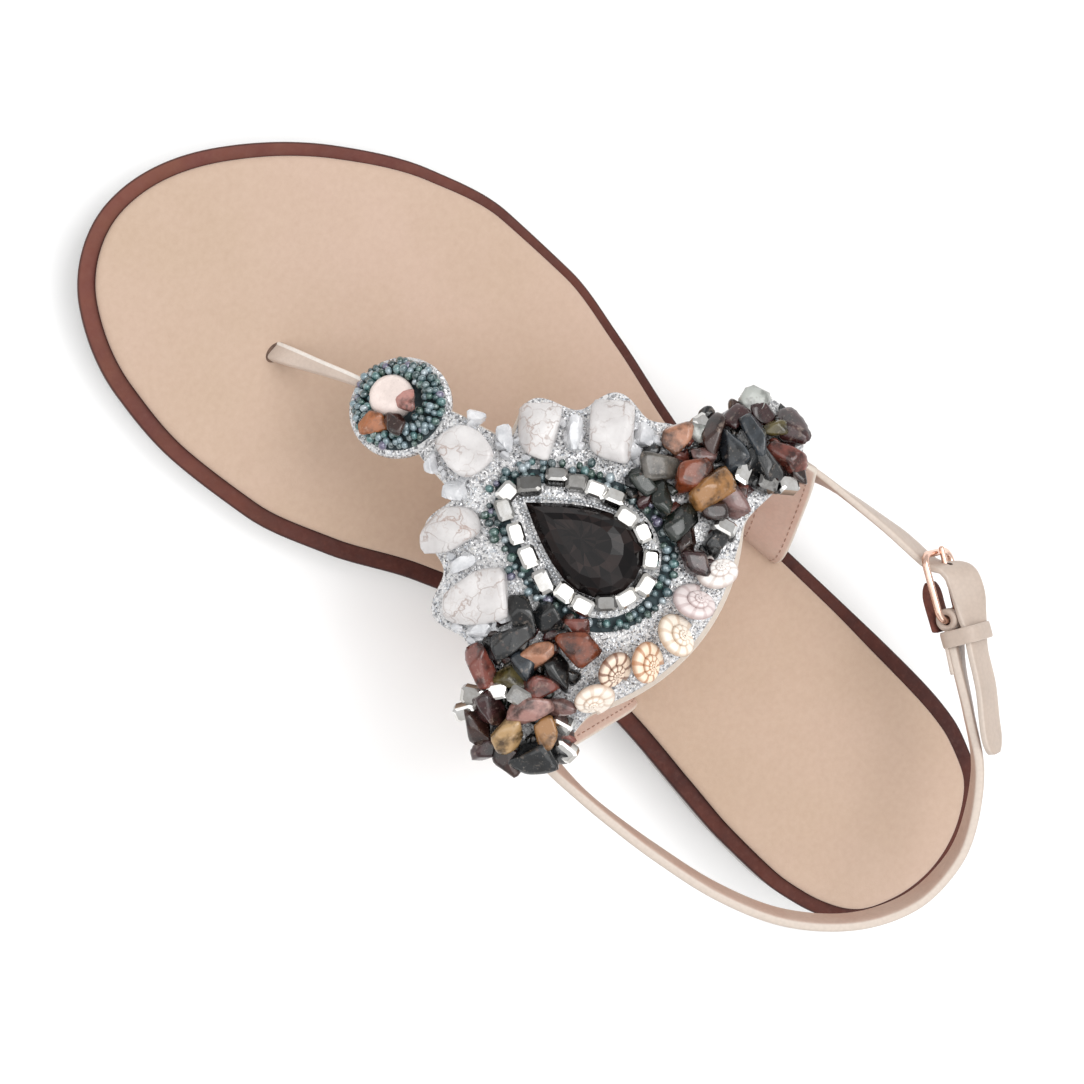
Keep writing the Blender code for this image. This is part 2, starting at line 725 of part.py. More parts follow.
def make_heel_strap():
    """Strap round the heel that ends in an eye round the pivot bar, slotted for the prong."""
    strap = standing_strap("heel_strap", standing_rows(HEEL_STRAP), STRAP_WIDTH, HEEL_STRAP_THICK)
    boolean(strap, along_pivot("strap_eye", EYE_RADIUS, EYE_LENGTH, 18, CUTTERS), "UNION")
    boolean(strap, along_pivot("eye_bore", WIRE_RADIUS + GAP, BORE_LENGTH, 16, CUTTERS), "DIFFERENCE")
    centre = PIVOT + FORWARD * PRONG_SLOT_AHEAD
    slot = block("prong_slot", centre, (FACE_OUT, FORWARD, FRAME_UP), PRONG_SLOT, CUTTERS)
    boolean(strap, slot, "DIFFERENCE")


def make_front_strap():
    """Strap from the outer wing through the buckle, with a prong hole and a tail with a narrowed tip."""
    ahead, out = np.array(STRAP_RUN).T[:, :, None]
    through_buckle = PIVOT + FORWARD * ahead + FACE_OUT * out
    axes = np.tile(FRAME_UP, (len(STRAP_RUN), 1))
    rows = np.vstack(
        [standing_rows(STRAP_TAIL), np.hstack([through_buckle, axes]), standing_rows(STRAP_TO_WING)]
    )
    width = np.full(2 * len(rows) - 1, STRAP_WIDTH)
    width[0] = TAIL_TIP_WIDTH
    strap = standing_strap("front_strap", rows, width, FRONT_STRAP_THICK)
    boolean(strap, prong_rod("prong_hole", PRONG_RADIUS + HOLE_ROOM), "DIFFERENCE")


def make_frame():
    """Buckle frame: a wire bent into a rectangle with round corners."""
    half = FRAME_HEIGHT / 2.0
    corners = (
        (FRAME_LENGTH - FRAME_CORNER, half - FRAME_CORNER, 0.0),
        (FRAME_CORNER, half - FRAME_CORNER, 90.0),
        (FRAME_CORNER, FRAME_CORNER - half, 180.0),
        (FRAME_LENGTH - FRAME_CORNER, FRAME_CORNER - half, 270.0),
    )
    turn = np.radians(np.linspace(0.0, 90.0, 5))
    path = []
    for ahead, above, start in corners:
        bend = turn + math.radians(start)
        for u, v in zip(ahead + FRAME_CORNER * np.cos(bend), above + FRAME_CORNER * np.sin(bend)):
            path.append(PIVOT + FORWARD * u + FRAME_UP * v)
    return wire_loop("buckle_frame", path, WIRE_RADIUS, ROSE_GOLD, 2)


def wire_loop(name, path, radius, material, roundness=1):
    """A closed tube of round section along a loop of places."""
    curve = bpy.data.curves.new(name, "CURVE")
    curve.dimensions = "3D"
    curve.bevel_depth = radius * MM
    curve.bevel_resolution = roundness
    spline = curve.splines.new("POLY")
    spline.points.add(len(path) - 1)
    for point, place in zip(spline.points, in_metres(path)):
        point.co = (*place, 1.0)
    spline.use_cyclic_u = True
    return keep(bpy.data.objects.new(name, curve), PARTS, material)


def make_prong():
    """Prong: a short tube that turns on the pivot bar, with a rod that rests on the front bar."""
    bore = WIRE_RADIUS + GAP
    prong = along_pivot("buckle_prong", bore + PRONG_WALL, PRONG_COLLAR, 16, PARTS, ROSE_GOLD)
    boolean(prong, prong_rod("prong_rod", PRONG_RADIUS), "UNION")
    boolean(prong, along_pivot("prong_bore", bore, BORE_LENGTH, 16, CUTTERS), "DIFFERENCE")


def make_keeper():
    """Leather loop round the heel strap and the tail, close behind the buckle."""
    centre = PIVOT - FORWARD * KEEPER_BACK + FACE_OUT * KEEPER_OUT
    axes = (FACE_OUT, FORWARD, FRAME_UP)
    wide, high = KEEPER_ROOM
    loop = (wide + 2.0 * KEEPER_WALL, KEEPER_LENGTH, high + 2.0 * KEEPER_WALL)
    keeper = block("keeper_loop", centre, axes, loop, PARTS, BEIGE_LEATHER)
    edge = keeper.modifiers.new("round_edges", "BEVEL")
    edge.width = KEEPER_ROUND * MM
    edge.segments = 2
    room = block("keeper_room", centre, axes, (wide, 2.0 * KEEPER_LENGTH, high), CUTTERS)
    boolean(keeper, room, "DIFFERENCE")


# Stones


def drop_outline(count, outset=0.0):
    """Teardrop round its centre: a cosine along, a narrowing sine across, moved out and turned."""
    turn = np.linspace(0.0, 2.0 * math.pi, count, endpoint=False)
    narrow = np.sin(turn / 2.0) ** DROP_FULLNESS
    widest = np.max(np.sin(turn) * narrow)
    loop = np.column_stack(
        [DROP_LENGTH / 2.0 * np.cos(turn), DROP_WIDTH / 2.0 * np.sin(turn) * narrow / widest]
    )
    tangent = unit(np.roll(loop, -1, axis=0) - np.roll(loop, 1, axis=0))
    loop = loop + outset * np.column_stack([tangent[:, 1], -tangent[:, 0]])
    along, across = loop.T
    turned = (
        along * math.cos(DROP_YAW) - across * math.sin(DROP_YAW),
        along * math.sin(DROP_YAW) + across * math.cos(DROP_YAW),
    )
    return np.column_stack(turned)


def make_drop():
    """Faceted crystal: flat base, girdle, two crown rings turned half a step, and a table."""
    points = []
    for scale, height, shift in DROP_LEVELS:
        loop = drop_outline(DROP_POINTS) * scale
        loop = loop + shift * (np.roll(loop, -1, axis=0) - loop)
        points.extend((u * MM, -v * MM, height * MM) for u, v in loop)
    count = DROP_POINTS
    faces = [tuple(range(count)), tuple(range(3 * count, 4 * count))]
    for level in range(3):
        low = level * count
        lag = level == 2
        for i in range(count):
            j = (i + 1) % count
            if lag:
                faces.append((low + i, low + j, low + count + j))
                faces.append((low + i, low + count + j, low + count + i))
            else:
                faces.append((low + i, low + j, low + count + i))
                faces.append((low + j, low + count + j, low + count + i))
    drop = mesh_object("teardrop_crystal", points, faces, PARTS, SMOKY_CRYSTAL)
    drop.data.shade_flat()
    drop.matrix_world = seat_matrix(DROP_STATION, DROP_ACROSS, 0.0, GAP)


def make_drop_ring(name, outset, radius, material):
    """A strung ring of beads round the crystal, lying on the shield."""
    path = []
    for u, v in drop_outline(RING_POINTS, outset):
        path.append(seat(DROP_STATION + u, DROP_ACROSS + v, radius + GAP)[0])
    wire_loop(name, path, radius, material)


def make_medallion():
    """Domed stone disc inside a thick ring of beads on the medallion pad."""
    lift = PAD_RISE + GAP
    stone = nugget("medallion_stone", MEDALLION_STONE, 7, WHITE_STONE)
    stone.matrix_world = seat_matrix(MEDALLION_STATION, MEDALLION_ACROSS, 0.0, lift)
    radius, bank = MEDALLION_RING
    bpy.ops.mesh.primitive_torus_add(
        major_segments=30, minor_segments=6, major_radius=radius * MM, minor_radius=bank * MM
    )
    ring = keep(bpy.context.object, PARTS, TEAL_BEAD)
    ring.name = "medallion_beads"
    ring.matrix_world = seat_matrix(MEDALLION_STATION, MEDALLION_ACROSS, 0.0, lift + bank)


def nugget(name, sizes, seed, material):
    """A tumbled stone: a ball stretched to its sizes, dented by two slow waves and flat underneath."""
    length, width, height = sizes
    work = bmesh.new()
    bmesh.ops.create_icosphere(work, subdivisions=2, radius=1.0)
    for vertex in work.verts:
        x, y, z = vertex.co
        waves = math.sin(2.6 * x + 1.9 * seed) + math.sin(2.9 * y - 2.3 * z + 1.3 * seed)
        dent = 1.0 + STONE_DENT * waves
        above = (max(z, -STONE_FLAT) + STONE_FLAT) / (1.0 + STONE_FLAT)
        vertex.co = (x * dent * length / 2.0, y * dent * width / 2.0, above * height)
        vertex.co *= MM
    mesh = bpy.data.meshes.new(name)
    work.to_mesh(mesh)
    work.free()
    mesh.shade_smooth()
    return keep(bpy.data.objects.new(name, mesh), PARTS, material)


def make_stones():
    """White nuggets, small crystals and polished chips, each seated on the shield."""
    kinds = (
        ("white_nugget", NUGGETS, WHITE_STONE),
        ("small_crystal", CRYSTALS, CLEAR_CRYSTAL),
        ("chip", CHIPS, DARK_CHIP),
    )
    for kind, table, material in kinds:
        for number, (station, across, yaw, *sizes) in enumerate(table, 1):
            stone = nugget(f"{kind}_{number:02d}", sizes, number, material)
            stone.matrix_world = seat_matrix(station, across, math.radians(yaw), GAP)


def make_shells():
    """Small turbans: a stepped profile turned round the shell's axis."""
    for number, (station, across, radius, height) in enumerate(SHELLS, 1):
        profile = [(r * radius * MM, 0.0, h * height * MM) for r, h in WHORLS]
        mesh = bpy.data.meshes.new(f"shell_{number}")
        mesh.from_pydata(profile, [(i, i + 1) for i in range(len(profile) - 1)], [])
        shell = keep(bpy.data.objects.new(f"shell_{number}", mesh), PARTS, SHELL_CREAM)
        spin = shell.modifiers.new("turn", "SCREW")
        spin.steps = 10
        spin.render_steps = 10
        spin.use_merge_vertices = True
        spin.merge_threshold = 0.00001
        spin.use_smooth_shade = True
        shell.matrix_world = seat_matrix(station, across, 0.0, GAP)


make_outsole()
make_midsole()
make_insole()
make_upper()
make_heel_strap()
make_front_strap()
make_frame()
make_prong()
make_keeper()
make_drop()
make_drop_ring("mirror_ring", *MIRROR_RING, MIRROR_SILVER)
make_drop_ring("seed_ring", *SEED_RING, TEAL_BEAD)
make_medallion()
make_stones()
make_shells()
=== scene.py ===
import math

import bmesh
import bpy
import numpy as np
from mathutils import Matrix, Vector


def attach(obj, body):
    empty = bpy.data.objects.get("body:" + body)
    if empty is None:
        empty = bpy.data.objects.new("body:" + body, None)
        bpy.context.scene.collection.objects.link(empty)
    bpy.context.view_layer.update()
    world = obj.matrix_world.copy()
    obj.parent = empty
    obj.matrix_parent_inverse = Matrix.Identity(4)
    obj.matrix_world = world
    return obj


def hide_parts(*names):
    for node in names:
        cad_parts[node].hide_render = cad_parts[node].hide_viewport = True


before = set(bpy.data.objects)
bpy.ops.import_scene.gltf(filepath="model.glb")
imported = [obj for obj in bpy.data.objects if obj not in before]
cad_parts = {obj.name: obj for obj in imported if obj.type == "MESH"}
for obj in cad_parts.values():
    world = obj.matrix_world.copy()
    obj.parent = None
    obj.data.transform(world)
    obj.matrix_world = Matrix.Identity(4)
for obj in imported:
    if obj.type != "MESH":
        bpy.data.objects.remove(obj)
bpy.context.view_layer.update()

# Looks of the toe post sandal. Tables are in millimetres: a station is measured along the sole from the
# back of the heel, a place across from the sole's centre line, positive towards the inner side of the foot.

MM = 0.001
GAP = 0.3
FLOOR = -0.0001
UP = np.array([0.0, 0.0, 1.0])
ALONG = np.array([1.0, 0.0, 0.0])
ACROSS = np.array([0.0, 1.0, 0.0])
FULL_TURN = 2.0 * math.pi
PATH_STEPS = 14  # points between two rows of a strap's table

# Sole
HEEL_STATION = -3.2
TOE_STATION = 250.5
MID_STATION = 123.4
MID_ACROSS = -4.9
OUTLINE_POINTS = 480
MIDSOLE_THICK = 2.6
INSOLE_CROWN = 0.35
BOARD_UNDER_SOCK = 3.0

# Instep shield
SHIELD_STATION = 120.0
SHIELD_WALL = 2.6
INSTEP_STATION = 92.0
INSTEP_HEIGHT = 62.0
INSTEP_FALL = 0.0036
INSTEP_AXIS = 2.5
INSTEP_ARCH = 0.0055
BODY_RADIUS = 35.2
SCALLOP = 2.2
SCALLOP_PERIOD = math.radians(30.0)
SCALLOP_FADE = (70.0, 86.0)
BACK_ARC_STATION = 141.0
BACK_ARC_RADIUS = 50.0
SHIELD_ANGLES = 480
CLOTH_THICK = 0.4

# Medallion and toe post
MEDALLION_STATION = 172.5
MEDALLION_ACROSS = 1.4
PAD_SIDES = 96
MEDALLION_LIFT = 0.6
STONE_AHEAD = 1.7
STONE_ACROSS = -0.2
POST_SLIT = (199.8, 8.5)
POST_THICK = 2.2
POST_EDGE_WIDTH = 1.3
POST_EDGE_THICK = 1.5
POST_EDGE_INSET = 0.5
SLIT_HALF_SIZE = (1.7, 2.75, 1.0)
SOCK_TOP = 2.7  # above the midsole, where the toe post goes in

# Straps and buckle
STRAP_WIDTH = 8.5
HEEL_STRAP_THICK = 2.6
FRONT_STRAP_THICK = 2.0
END_NARROWING = 0.82  # share of the squared width that a strap loses at its very end
TAIL_ROUNDING = 5.0
HIDDEN_ROUNDING = 2.4
PIVOT_CLEAR = 4.6  # the heel strap's band stops this far from the pivot
FOLD_REACH = 13.0  # the fold runs back this far from the pivot
FOLD_THICK = 1.3
FOLD_INSET = 0.3
FOLD_STITCH_ACROSS = 2.4
FOLD_STITCH_DEPTH = -0.6
FOLD_STITCH_PITCH = 1.6
FOLD_STITCH_LENGTH = 1.35
PRONG_ROOM = 1.5  # half of the gap between the two rolls
ROLL_RADII = (1.25, 2.3, 2.6)  # bore, start of the rounded edge, outside
ROLL_CORNER = 0.3
ROLL_INSET = 0.2
TONGUE_BACK = 0.8
TONGUE_SHORT = 1.6
TONGUE_THINNER = 0.2
HOLE_PITCH = 6.0
HOLE_START = 9.0
HOLE_STATIONS = (51.0, 57.0)  # holes show between these
LINING_WIDTH = 9.2
LINING_THICK = 1.2
STITCH_WIDTH = 0.36
STITCH_RISE = 0.12
STITCH_SUNK = 0.05
SIDE_STRAP_WIDTH = 12.0
SIDE_STRAP_THICK = 2.2
SIDE_STITCH_MARGIN = 1.6
SIDE_STITCH_PITCH = 2.2
SIDE_STITCH_LENGTH = 1.5
PIVOT = np.array([45.0, -45.0, 46.0])
FRAME_LENGTH = 15.6
FRAME_LEAN = math.radians(-45.0)  # inwards, as the loose end lies
FRAME_HEIGHT = 12.8
FRAME_CORNER = 2.6
WIRE_RADIUS = 0.82
PRONG_RADIUS = 0.75
PRONG_ROOT_AHEAD = 1.2
PRONG_ROOT_OUT = 1.3
PRONG_OVERHANG = 1.2
PRONG_REST = 0.15
KEEPER_BACK = 4.4
KEEPER_OUT = 2.1
KEEPER_LENGTH = 3.8
KEEPER_ROOM = (7.8, 9.2)
KEEPER_WALL = 1.0
KEEPER_CORNER = 2.6

# Teardrop crystal
DROP_STATION = 125.5
DROP_ACROSS = -0.5
DROP_YAW = math.radians(4.5)
DROP_LENGTH = 29.2
DROP_WIDTH = 18.6
DROP_FULLNESS = 1.15
DROP_SIDES = 22

# Beads, shells and glitter
MIRROR_OUTSET = 2.6  # of their string from the crystal's outline
MIRROR_SMALLEST = (4.3, 3.4, 3.0)
MIRROR_LARGEST = (5.5, 4.1, 3.6)
BED_POINTS = 160
PLANE_DEPTHS = (0.66, 1.0)  # distances of the planes that cut a stone
STREWN_MARGIN = 1.6  # between strewn stones and the shield's edge
SHELL_TURNS = 4.0
SHELL_STEPS = 104
SHELL_SIDES = 14
SHELL_SHRINK = 0.11
SHELL_COIL = 0.62
SHELL_TUBE = 0.38
SHELL_CLIMB = 0.85
SHELL_YAWS = (150.0, 330.0)
SHELL_SPREAD = 2.75  # drawn width for each millimetre of the table's radius
SHELL_RISE = 1.2  # drawn height beyond the table's
SHELL_LIFT = 0.7
SHELL_LEAN = math.radians(30.0)
SHELL_STRIPES = 9.0
GRAIN_COUNT = 5200
GRAIN_MARGIN = 0.6
GRAIN_SMALLEST = 0.16
GRAIN_SPREAD = 0.34

# Stage and camera, in metres
FLOOR_SPAN = 3.0
SURROUND = 0.7
CAMERA_PLACE = (0.0553, -0.106, 0.6037)
CAMERA_AHEAD = (-0.08166, 0.1754, -0.9811)
CAMERA_RIGHT = (-0.64378, 0.74219, 0.18627)
CAMERA_LENS = 85.0
CAMERA_SENSOR = 36.0
LAMP_AIM = (0.0, 0.0, 0.03)
# name, place, width, power
LAMPS = (
    ("overhead", (-0.1, 0.1, 1.7), 2.0, 12.0),
    ("key", (-0.75, 0.15, 1.25), 0.9, 6.0),
    ("fill", (0.7, -0.8, 1.0), 1.2, 3.0),
    ("rear", (0.2, 0.9, 0.9), 0.8, 2.0),
)

# station, inner edge, outer edge, rim left free beside the insole on the inner side and on the outer side
SOLE_EDGE = (
    (HEEL_STATION, -1.8, 1.8, 3.6, 3.6),
    (0.0, 12.6, 16.2, 3.6, 3.7),
    (6.0, 21.3, 25.0, 3.6, 3.8),
    (12.0, 24.7, 28.7, 3.5, 3.9),
    (20.0, 27.0, 31.8, 3.5, 4.0),
    (30.0, 28.1, 33.4, 3.6, 4.0),
    (45.0, 27.4, 34.4, 3.8, 3.8),
    (60.0, 25.3, 35.0, 4.0, 3.2),
    (80.0, 22.1, 35.9, 4.1, 3.0),
    (100.0, 20.2, 37.5, 4.2, 2.8),
    (120.0, 21.6, 42.3, 4.2, 2.5),
    (140.0, 27.3, 48.0, 4.1, 2.4),
    (160.0, 36.1, 52.2, 4.1, 2.4),
    (180.0, 41.7, 52.6, 4.0, 2.6),
    (200.0, 42.8, 47.9, 4.0, 2.9),
    (220.0, 40.0, 37.2, 4.2, 3.2),
    (240.0, 30.0, 18.4, 4.1, 3.5),
    (TOE_STATION, 8.3, -8.3, 3.8, 3.8),
)
# station, height of the midsole's top
FOOTBED = (
    (HEEL_STATION, 18.3),
    (30.0, 17.7),
    (60.0, 16.4),
    (90.0, 13.3),
    (120.0, 10.4),
    (150.0, 8.8),
    (180.0, 8.3),
    (205.0, 8.7),
    (230.0, 11.0),
    (TOE_STATION, 14.4),
)
# station, height of the tread
TREAD = (
    (HEEL_STATION, 0.6),
    (2.0, 0.0),
    (66.0, 0.0),
    (73.0, 6.6),
    (90.0, 6.0),
    (120.0, 2.6),
    (148.0, 0.0),
    (206.0, 0.0),
    (230.0, 2.2),
    (TOE_STATION, 6.4),
)
# station, how far the foot of the wall stands out
WALL_FLARE = (
    (HEEL_STATION, 0.8),
    (20.0, 0.2),
    (60.0, -0.6),
    (95.0, -0.6),
    (130.0, 0.0),
    (TOE_STATION, 0.2),
)
# angle from the toe direction in degrees, reach beyond the body, half spread in degrees
SHIELD_LOBES = (
    (1.6, 11.5, 11.5),  # neck
    (107.0, 13.5, 15.5),  # inner wing
    (-106.5, 22.0, 14.0),  # outer wing
)

# share of the way down the toe post, its width
POST_WIDTHS = (
    (0.0, 1.7),
    (0.35, 2.7),
    (0.7, 4.2),
    (1.0, 4.8),
)
# angle from the toe direction in degrees, width of bare leather beside the glitter cloth
FLANGE = (
    (-180.0, 1.4),
    (-138.0, 1.4),
    (-122.0, 0.3),
    (-26.0, 0.3),
    (-19.0, 1.2),
    (-8.0, 1.2),
    (-4.0, 0.3),
    (122.0, 0.3),
    (138.0, 1.4),
    (180.0, 1.4),
)
# station, across, height: centre line of each strap of the upper
POST_PATH = (
    (178.4, 1.6, 34.4),
    (185.0, 3.5, 28.6),
    (192.0, 5.8, 20.6),
    (197.6, 7.7, 14.4),
    (200.6, 8.7, 9.2),
)
INNER_PATH = (
    (88.0, 15.9, 14.0),
    (88.7, 17.0, 20.0),
    (93.4, 24.0, 30.0),
    (99.6, 33.4, 42.0),
    (104.4, 38.2, 51.2),
)
OUTER_PATH = (
    (83.8, -31.7, 14.5),
    (84.5, -32.8, 20.4),
    (88.9, -38.6, 29.0),
    (94.0, -44.4, 39.0),
    (98.0, -47.6, 46.4),
)
# station, across, height, outward lean in degrees
HEEL_STRAP = (
    (107.0, 39.2, 45.6, 27.0),
    (101.0, 39.2, 45.6, 25.0),
    (94.0, 40.4, 45.6, 16.0),
    (86.0, 41.0, 45.7, 8.0),
    (78.0, 41.0, 45.8, 7.0),
    (64.0, 40.1, 46.0, 10.0),
    (47.2, 37.8, 46.4, 10.0),
    (31.4, 32.6, 46.8, 8.0),
    (18.2, 23.2, 47.2, 4.0),
    (10.4, 11.6, 47.5, 2.0),
    (8.4, 0.0, 47.5, -3.0),
    (10.4, -10.2, 47.3, -8.0),
    (17.7, -22.4, 47.0, -14.0),
    (28.0, -31.0, 46.6, -20.0),
    (37.0, -37.8, 46.3, -27.0),
    (45.0, -45.0, 46.0, -45.0),
)
STRAP_TAIL = (
    (18.4, -27.4, 50.4, -46.0),
    (23.8, -31.8, 50.4, -46.0),
    (30.0, -37.4, 50.4, -46.0),
)
STRAP_TO_WING = (
    (64.4, -51.5, 42.3, -26.0),
    (70.7, -51.2, 42.2, -20.0),
    (80.4, -50.5, 41.4, -12.0),
    (88.0, -49.6, 40.4, 0.0),
    (95.0, -48.0, 39.4, 20.0),
    (101.0, -47.7, 39.4, 25.0),
)
# along the buckle from its pivot bar, out from its plane, roll in degrees: the front strap in the frame
STRAP_RUN = (
    (-9.0, 3.8, 0.0),
    (-4.6, 4.4, 6.0),
    (0.0, 4.8, 20.0),
    (4.6, 5.2, 34.0),
    (8.8, 4.7, 34.0),
    (11.2, 2.7, 20.0),
    (12.4, 0.0, 4.0),
    (14.4, -2.6, -8.0),
)
# the same for the lining behind the buckle
BUCKLE_LINING = (
    (-2.3, -3.5, 0.0),
    (0.0, -3.6, 0.0),
    (5.0, -3.7, 0.0),
    (9.4, -3.4, 0.0),
)

# station, across, yaw in degrees, length, width, height
NUGGETS = (
    (155.1, 0.4, -15.0, 12.2, 10.2, 5.0),
    (146.1, -13.0, -50.0, 13.4, 9.6, 5.2),
    (134.3, -22.6, -52.0, 14.2, 10.2, 5.4),
    (147.3, 15.4, 41.0, 13.6, 10.2, 5.2),
    (134.1, 22.8, 45.0, 14.4, 12.2, 5.6),
)
CRYSTALS = (
    (150.6, -7.0, -30.0, 6.4, 4.2, 3.4),
    (140.4, -17.6, -50.0, 8.0, 3.8, 3.6),
    (151.8, 8.3, 30.0, 5.6, 4.6, 3.4),
    (140.9, 19.1, 61.0, 6.4, 3.4, 3.4),
    (128.8, -27.6, -60.0, 5.8, 4.4, 3.6),
    (128.6, -22.4, 20.0, 4.6, 3.6, 3.2),
    (129.0, 27.6, 50.0, 5.8, 4.4, 3.6),
    (127.6, 21.6, -30.0, 4.4, 3.4, 3.0),
    (158.4, -7.2, 40.0, 4.2, 3.2, 2.8),
    (159.2, 7.4, -40.0, 4.2, 3.2, 2.8),
)

# Stone colours as screen values
STONE = {
    "amber": (160, 96, 56),
    "coral": (178, 122, 112),
    "peach": (170, 120, 94),
    "smoke": (92, 87, 80),
    "rust": (120, 58, 32),
    "gold": (150, 106, 60),
    "forest": (26, 34, 29),
    "umber": (54, 32, 27),
    "mauve": (116, 86, 82),
    "quartz": (168, 171, 166),
    "charcoal": (31, 33, 35),
    "slate": (50, 56, 62),
    "olive": (90, 80, 44),
    "plum": (58, 30, 31),
    "brick": (116, 60, 50),
    "black": (15, 16, 17),
    "rose": (158, 118, 110),
    "sand": (172, 140, 98),
}
# station, across, yaw in degrees, length, width, height, colour, lift
CHIPS = (
    (122.6, -31.4, 71.0, 8.3, 6.9, 5.3, "peach", 0.0),
    (122.1, -23.9, 51.0, 9.3, 6.5, 5.5, "smoke", 0.0),
    (115.6, -26.6, 76.0, 9.7, 6.9, 5.8, "rust", 0.4),
    (110.6, -26.6, 71.0, 10.6, 6.5, 5.9, "gold", 1.4),
    (116.1, -32.0, 26.0, 6.9, 5.1, 4.3, "mauve", 0.6),
    (123.1, -18.8, -20.0, 7.4, 4.6, 4.3, "forest", 0.0),
    (117.8, -18.2, -40.0, 8.8, 4.6, 4.8, "forest", 0.4),
    (111.6, -17.2, 81.0, 9.3, 5.6, 5.2, "forest", 0.0),
    (106.9, -24.6, 51.0, 7.9, 5.1, 4.6, "umber", 0.0),
    (104.6, -28.7, 10.0, 7.9, 6.5, 5.0, "mauve", 0.0),
    (103.8, -13.0, -30.0, 8.3, 5.1, 4.8, "plum", 0.0),
    (108.5, -15.6, -40.0, 6.9, 5.1, 4.3, "umber", 0.4),
    (102.8, -19.9, 41.0, 5.6, 4.6, 3.8, "charcoal", 0.0),
    (118.8, -35.5, 41.0, 5.6, 4.2, 3.6, "quartz", 0.4),
    (116.8, -36.8, -79.0, 10.6, 6.0, 5.8, "umber", 0.4),
    (115.1, -43.4, -89.0, 6.5, 4.6, 4.0, "plum", 0.6),
    (113.3, -48.5, -79.0, 7.9, 6.9, 5.2, "quartz", 0.0),
    (111.6, -36.6, -45.0, 10.6, 5.1, 5.5, "slate", 1.6),
    (109.2, -42.4, -30.0, 10.2, 5.6, 5.5, "slate", 2.0),
    (103.2, -39.5, -20.0, 9.7, 6.5, 5.6, "charcoal", 0.6),
    (106.7, -47.1, 31.0, 5.6, 3.7, 3.5, "olive", 2.0),
    (103.8, -50.0, -40.0, 10.2, 6.9, 5.9, "plum", 0.4),
    (100.7, -44.2, 0.0, 10.6, 5.1, 5.5, "brick", 1.2),
    (96.5, -43.8, 0.0, 6.5, 5.1, 4.2, "umber", 0.0),
    (106.8, -36.3, -40.0, 8.3, 5.6, 4.9, "charcoal", 0.4),
    (110.1, -48.5, 61.0, 6.9, 5.1, 4.3, "plum", 0.4),
    (120.3, -40.2, 41.0, 4.6, 3.7, 3.2, "black", 0.0),
    (124.2, 19.4, -45.0, 9.3, 6.0, 5.3, "black", 0.0),
    (119.7, 16.6, -10.0, 7.9, 6.0, 4.9, "charcoal", 0.0),
    (111.5, 16.6, -10.0, 9.3, 6.9, 5.6, "rust", 0.4),
    (113.9, 14.3, 41.0, 5.6, 4.6, 3.8, "brick", 0.0),
    (123.7, 32.9, -40.0, 10.2, 6.5, 5.8, "brick", 0.0),
    (117.1, 31.2, 21.0, 8.3, 6.0, 5.0, "olive", 0.4),
    (122.1, 24.7, 61.0, 10.2, 5.6, 5.5, "charcoal", 0.0),
    (117.2, 27.1, 10.0, 6.5, 5.6, 4.3, "slate", 1.2),
    (116.3, 23.2, 81.0, 7.9, 5.6, 4.8, "peach", 0.6),
    (110.2, 23.9, -35.0, 9.3, 5.1, 5.0, "black", 0.0),
    (111.9, 28.5, 66.0, 9.3, 5.1, 5.0, "brick", 0.8),
    (123.4, 28.1, 41.0, 6.9, 4.6, 4.2, "charcoal", 0.2),
    (115.7, 39.0, -20.0, 9.3, 7.4, 5.8, "plum", 0.8),
    (110.2, 32.9, 71.0, 10.6, 6.0, 5.8, "rose", 1.2),
    (105.8, 28.9, 61.0, 7.4, 4.6, 4.3, "mauve", 0.4),
    (109.5, 39.5, -79.0, 9.3, 6.5, 5.5, "sand", 2.2),
    (104.1, 34.4, -30.0, 7.4, 5.6, 4.6, "gold", 2.0),
    (115.5, 43.2, -20.0, 9.3, 6.0, 5.3, "umber", 0.2),
    (110.4, 46.3, 41.0, 6.0, 5.6, 4.2, "plum", 0.0),
    (105.6, 44.0, 10.0, 7.9, 5.1, 4.6, "umber", 0.2),
    (101.9, 41.2, 71.0, 11.1, 7.9, 6.0, "charcoal", 0.4),
    (99.0, 36.1, -40.0, 6.9, 4.6, 4.2, "black", 0.0),
    (100.8, 33.7, 41.0, 6.0, 4.2, 3.8, "umber", 0.0),
)
CHIP_SOLIDS = 27
CRYSTAL_SOLIDS = 4
MEDALLION_CHIPS = (
    (170.4, 0.4, -40.0, 5.4, 4.4, 3.2, "coral", 3.4),
    (173.0, 8.4, 60.0, 6.6, 5.2, 3.2, "amber", 2.6),
    (169.6, 5.6, 20.0, 6.2, 5.2, 3.4, "umber", 3.0),
)
# reach from the medallion's centre, rise, number of beads
MEDALLION_RINGS = (
    (6.3, 1.5, 24),
    (7.6, 1.9, 29),
    (8.9, 1.3, 34),
    (9.9, 0.5, 38),
)
# station, across, radius, height, ground colour, stripe colour, strength of the cross stripes
SHELLS = (
    (102.0, 22.4, 3.3, 4.4, (238, 228, 216), (196, 168, 146), 0.5),
    (103.2, 15.6, 3.1, 4.4, (234, 214, 194), (116, 72, 50), 0.85),
    (98.9, 10.6, 3.3, 4.6, (240, 220, 196), (172, 110, 66), 0.75),
    (97.4, 2.6, 3.6, 4.6, (240, 230, 216), (190, 158, 128), 0.5),
    (98.4, -5.2, 3.5, 4.4, (224, 212, 210), (176, 152, 150), 0.5),
    (98.0, -13.6, 3.3, 4.2, (242, 238, 234), (190, 172, 164), 0.5),
)
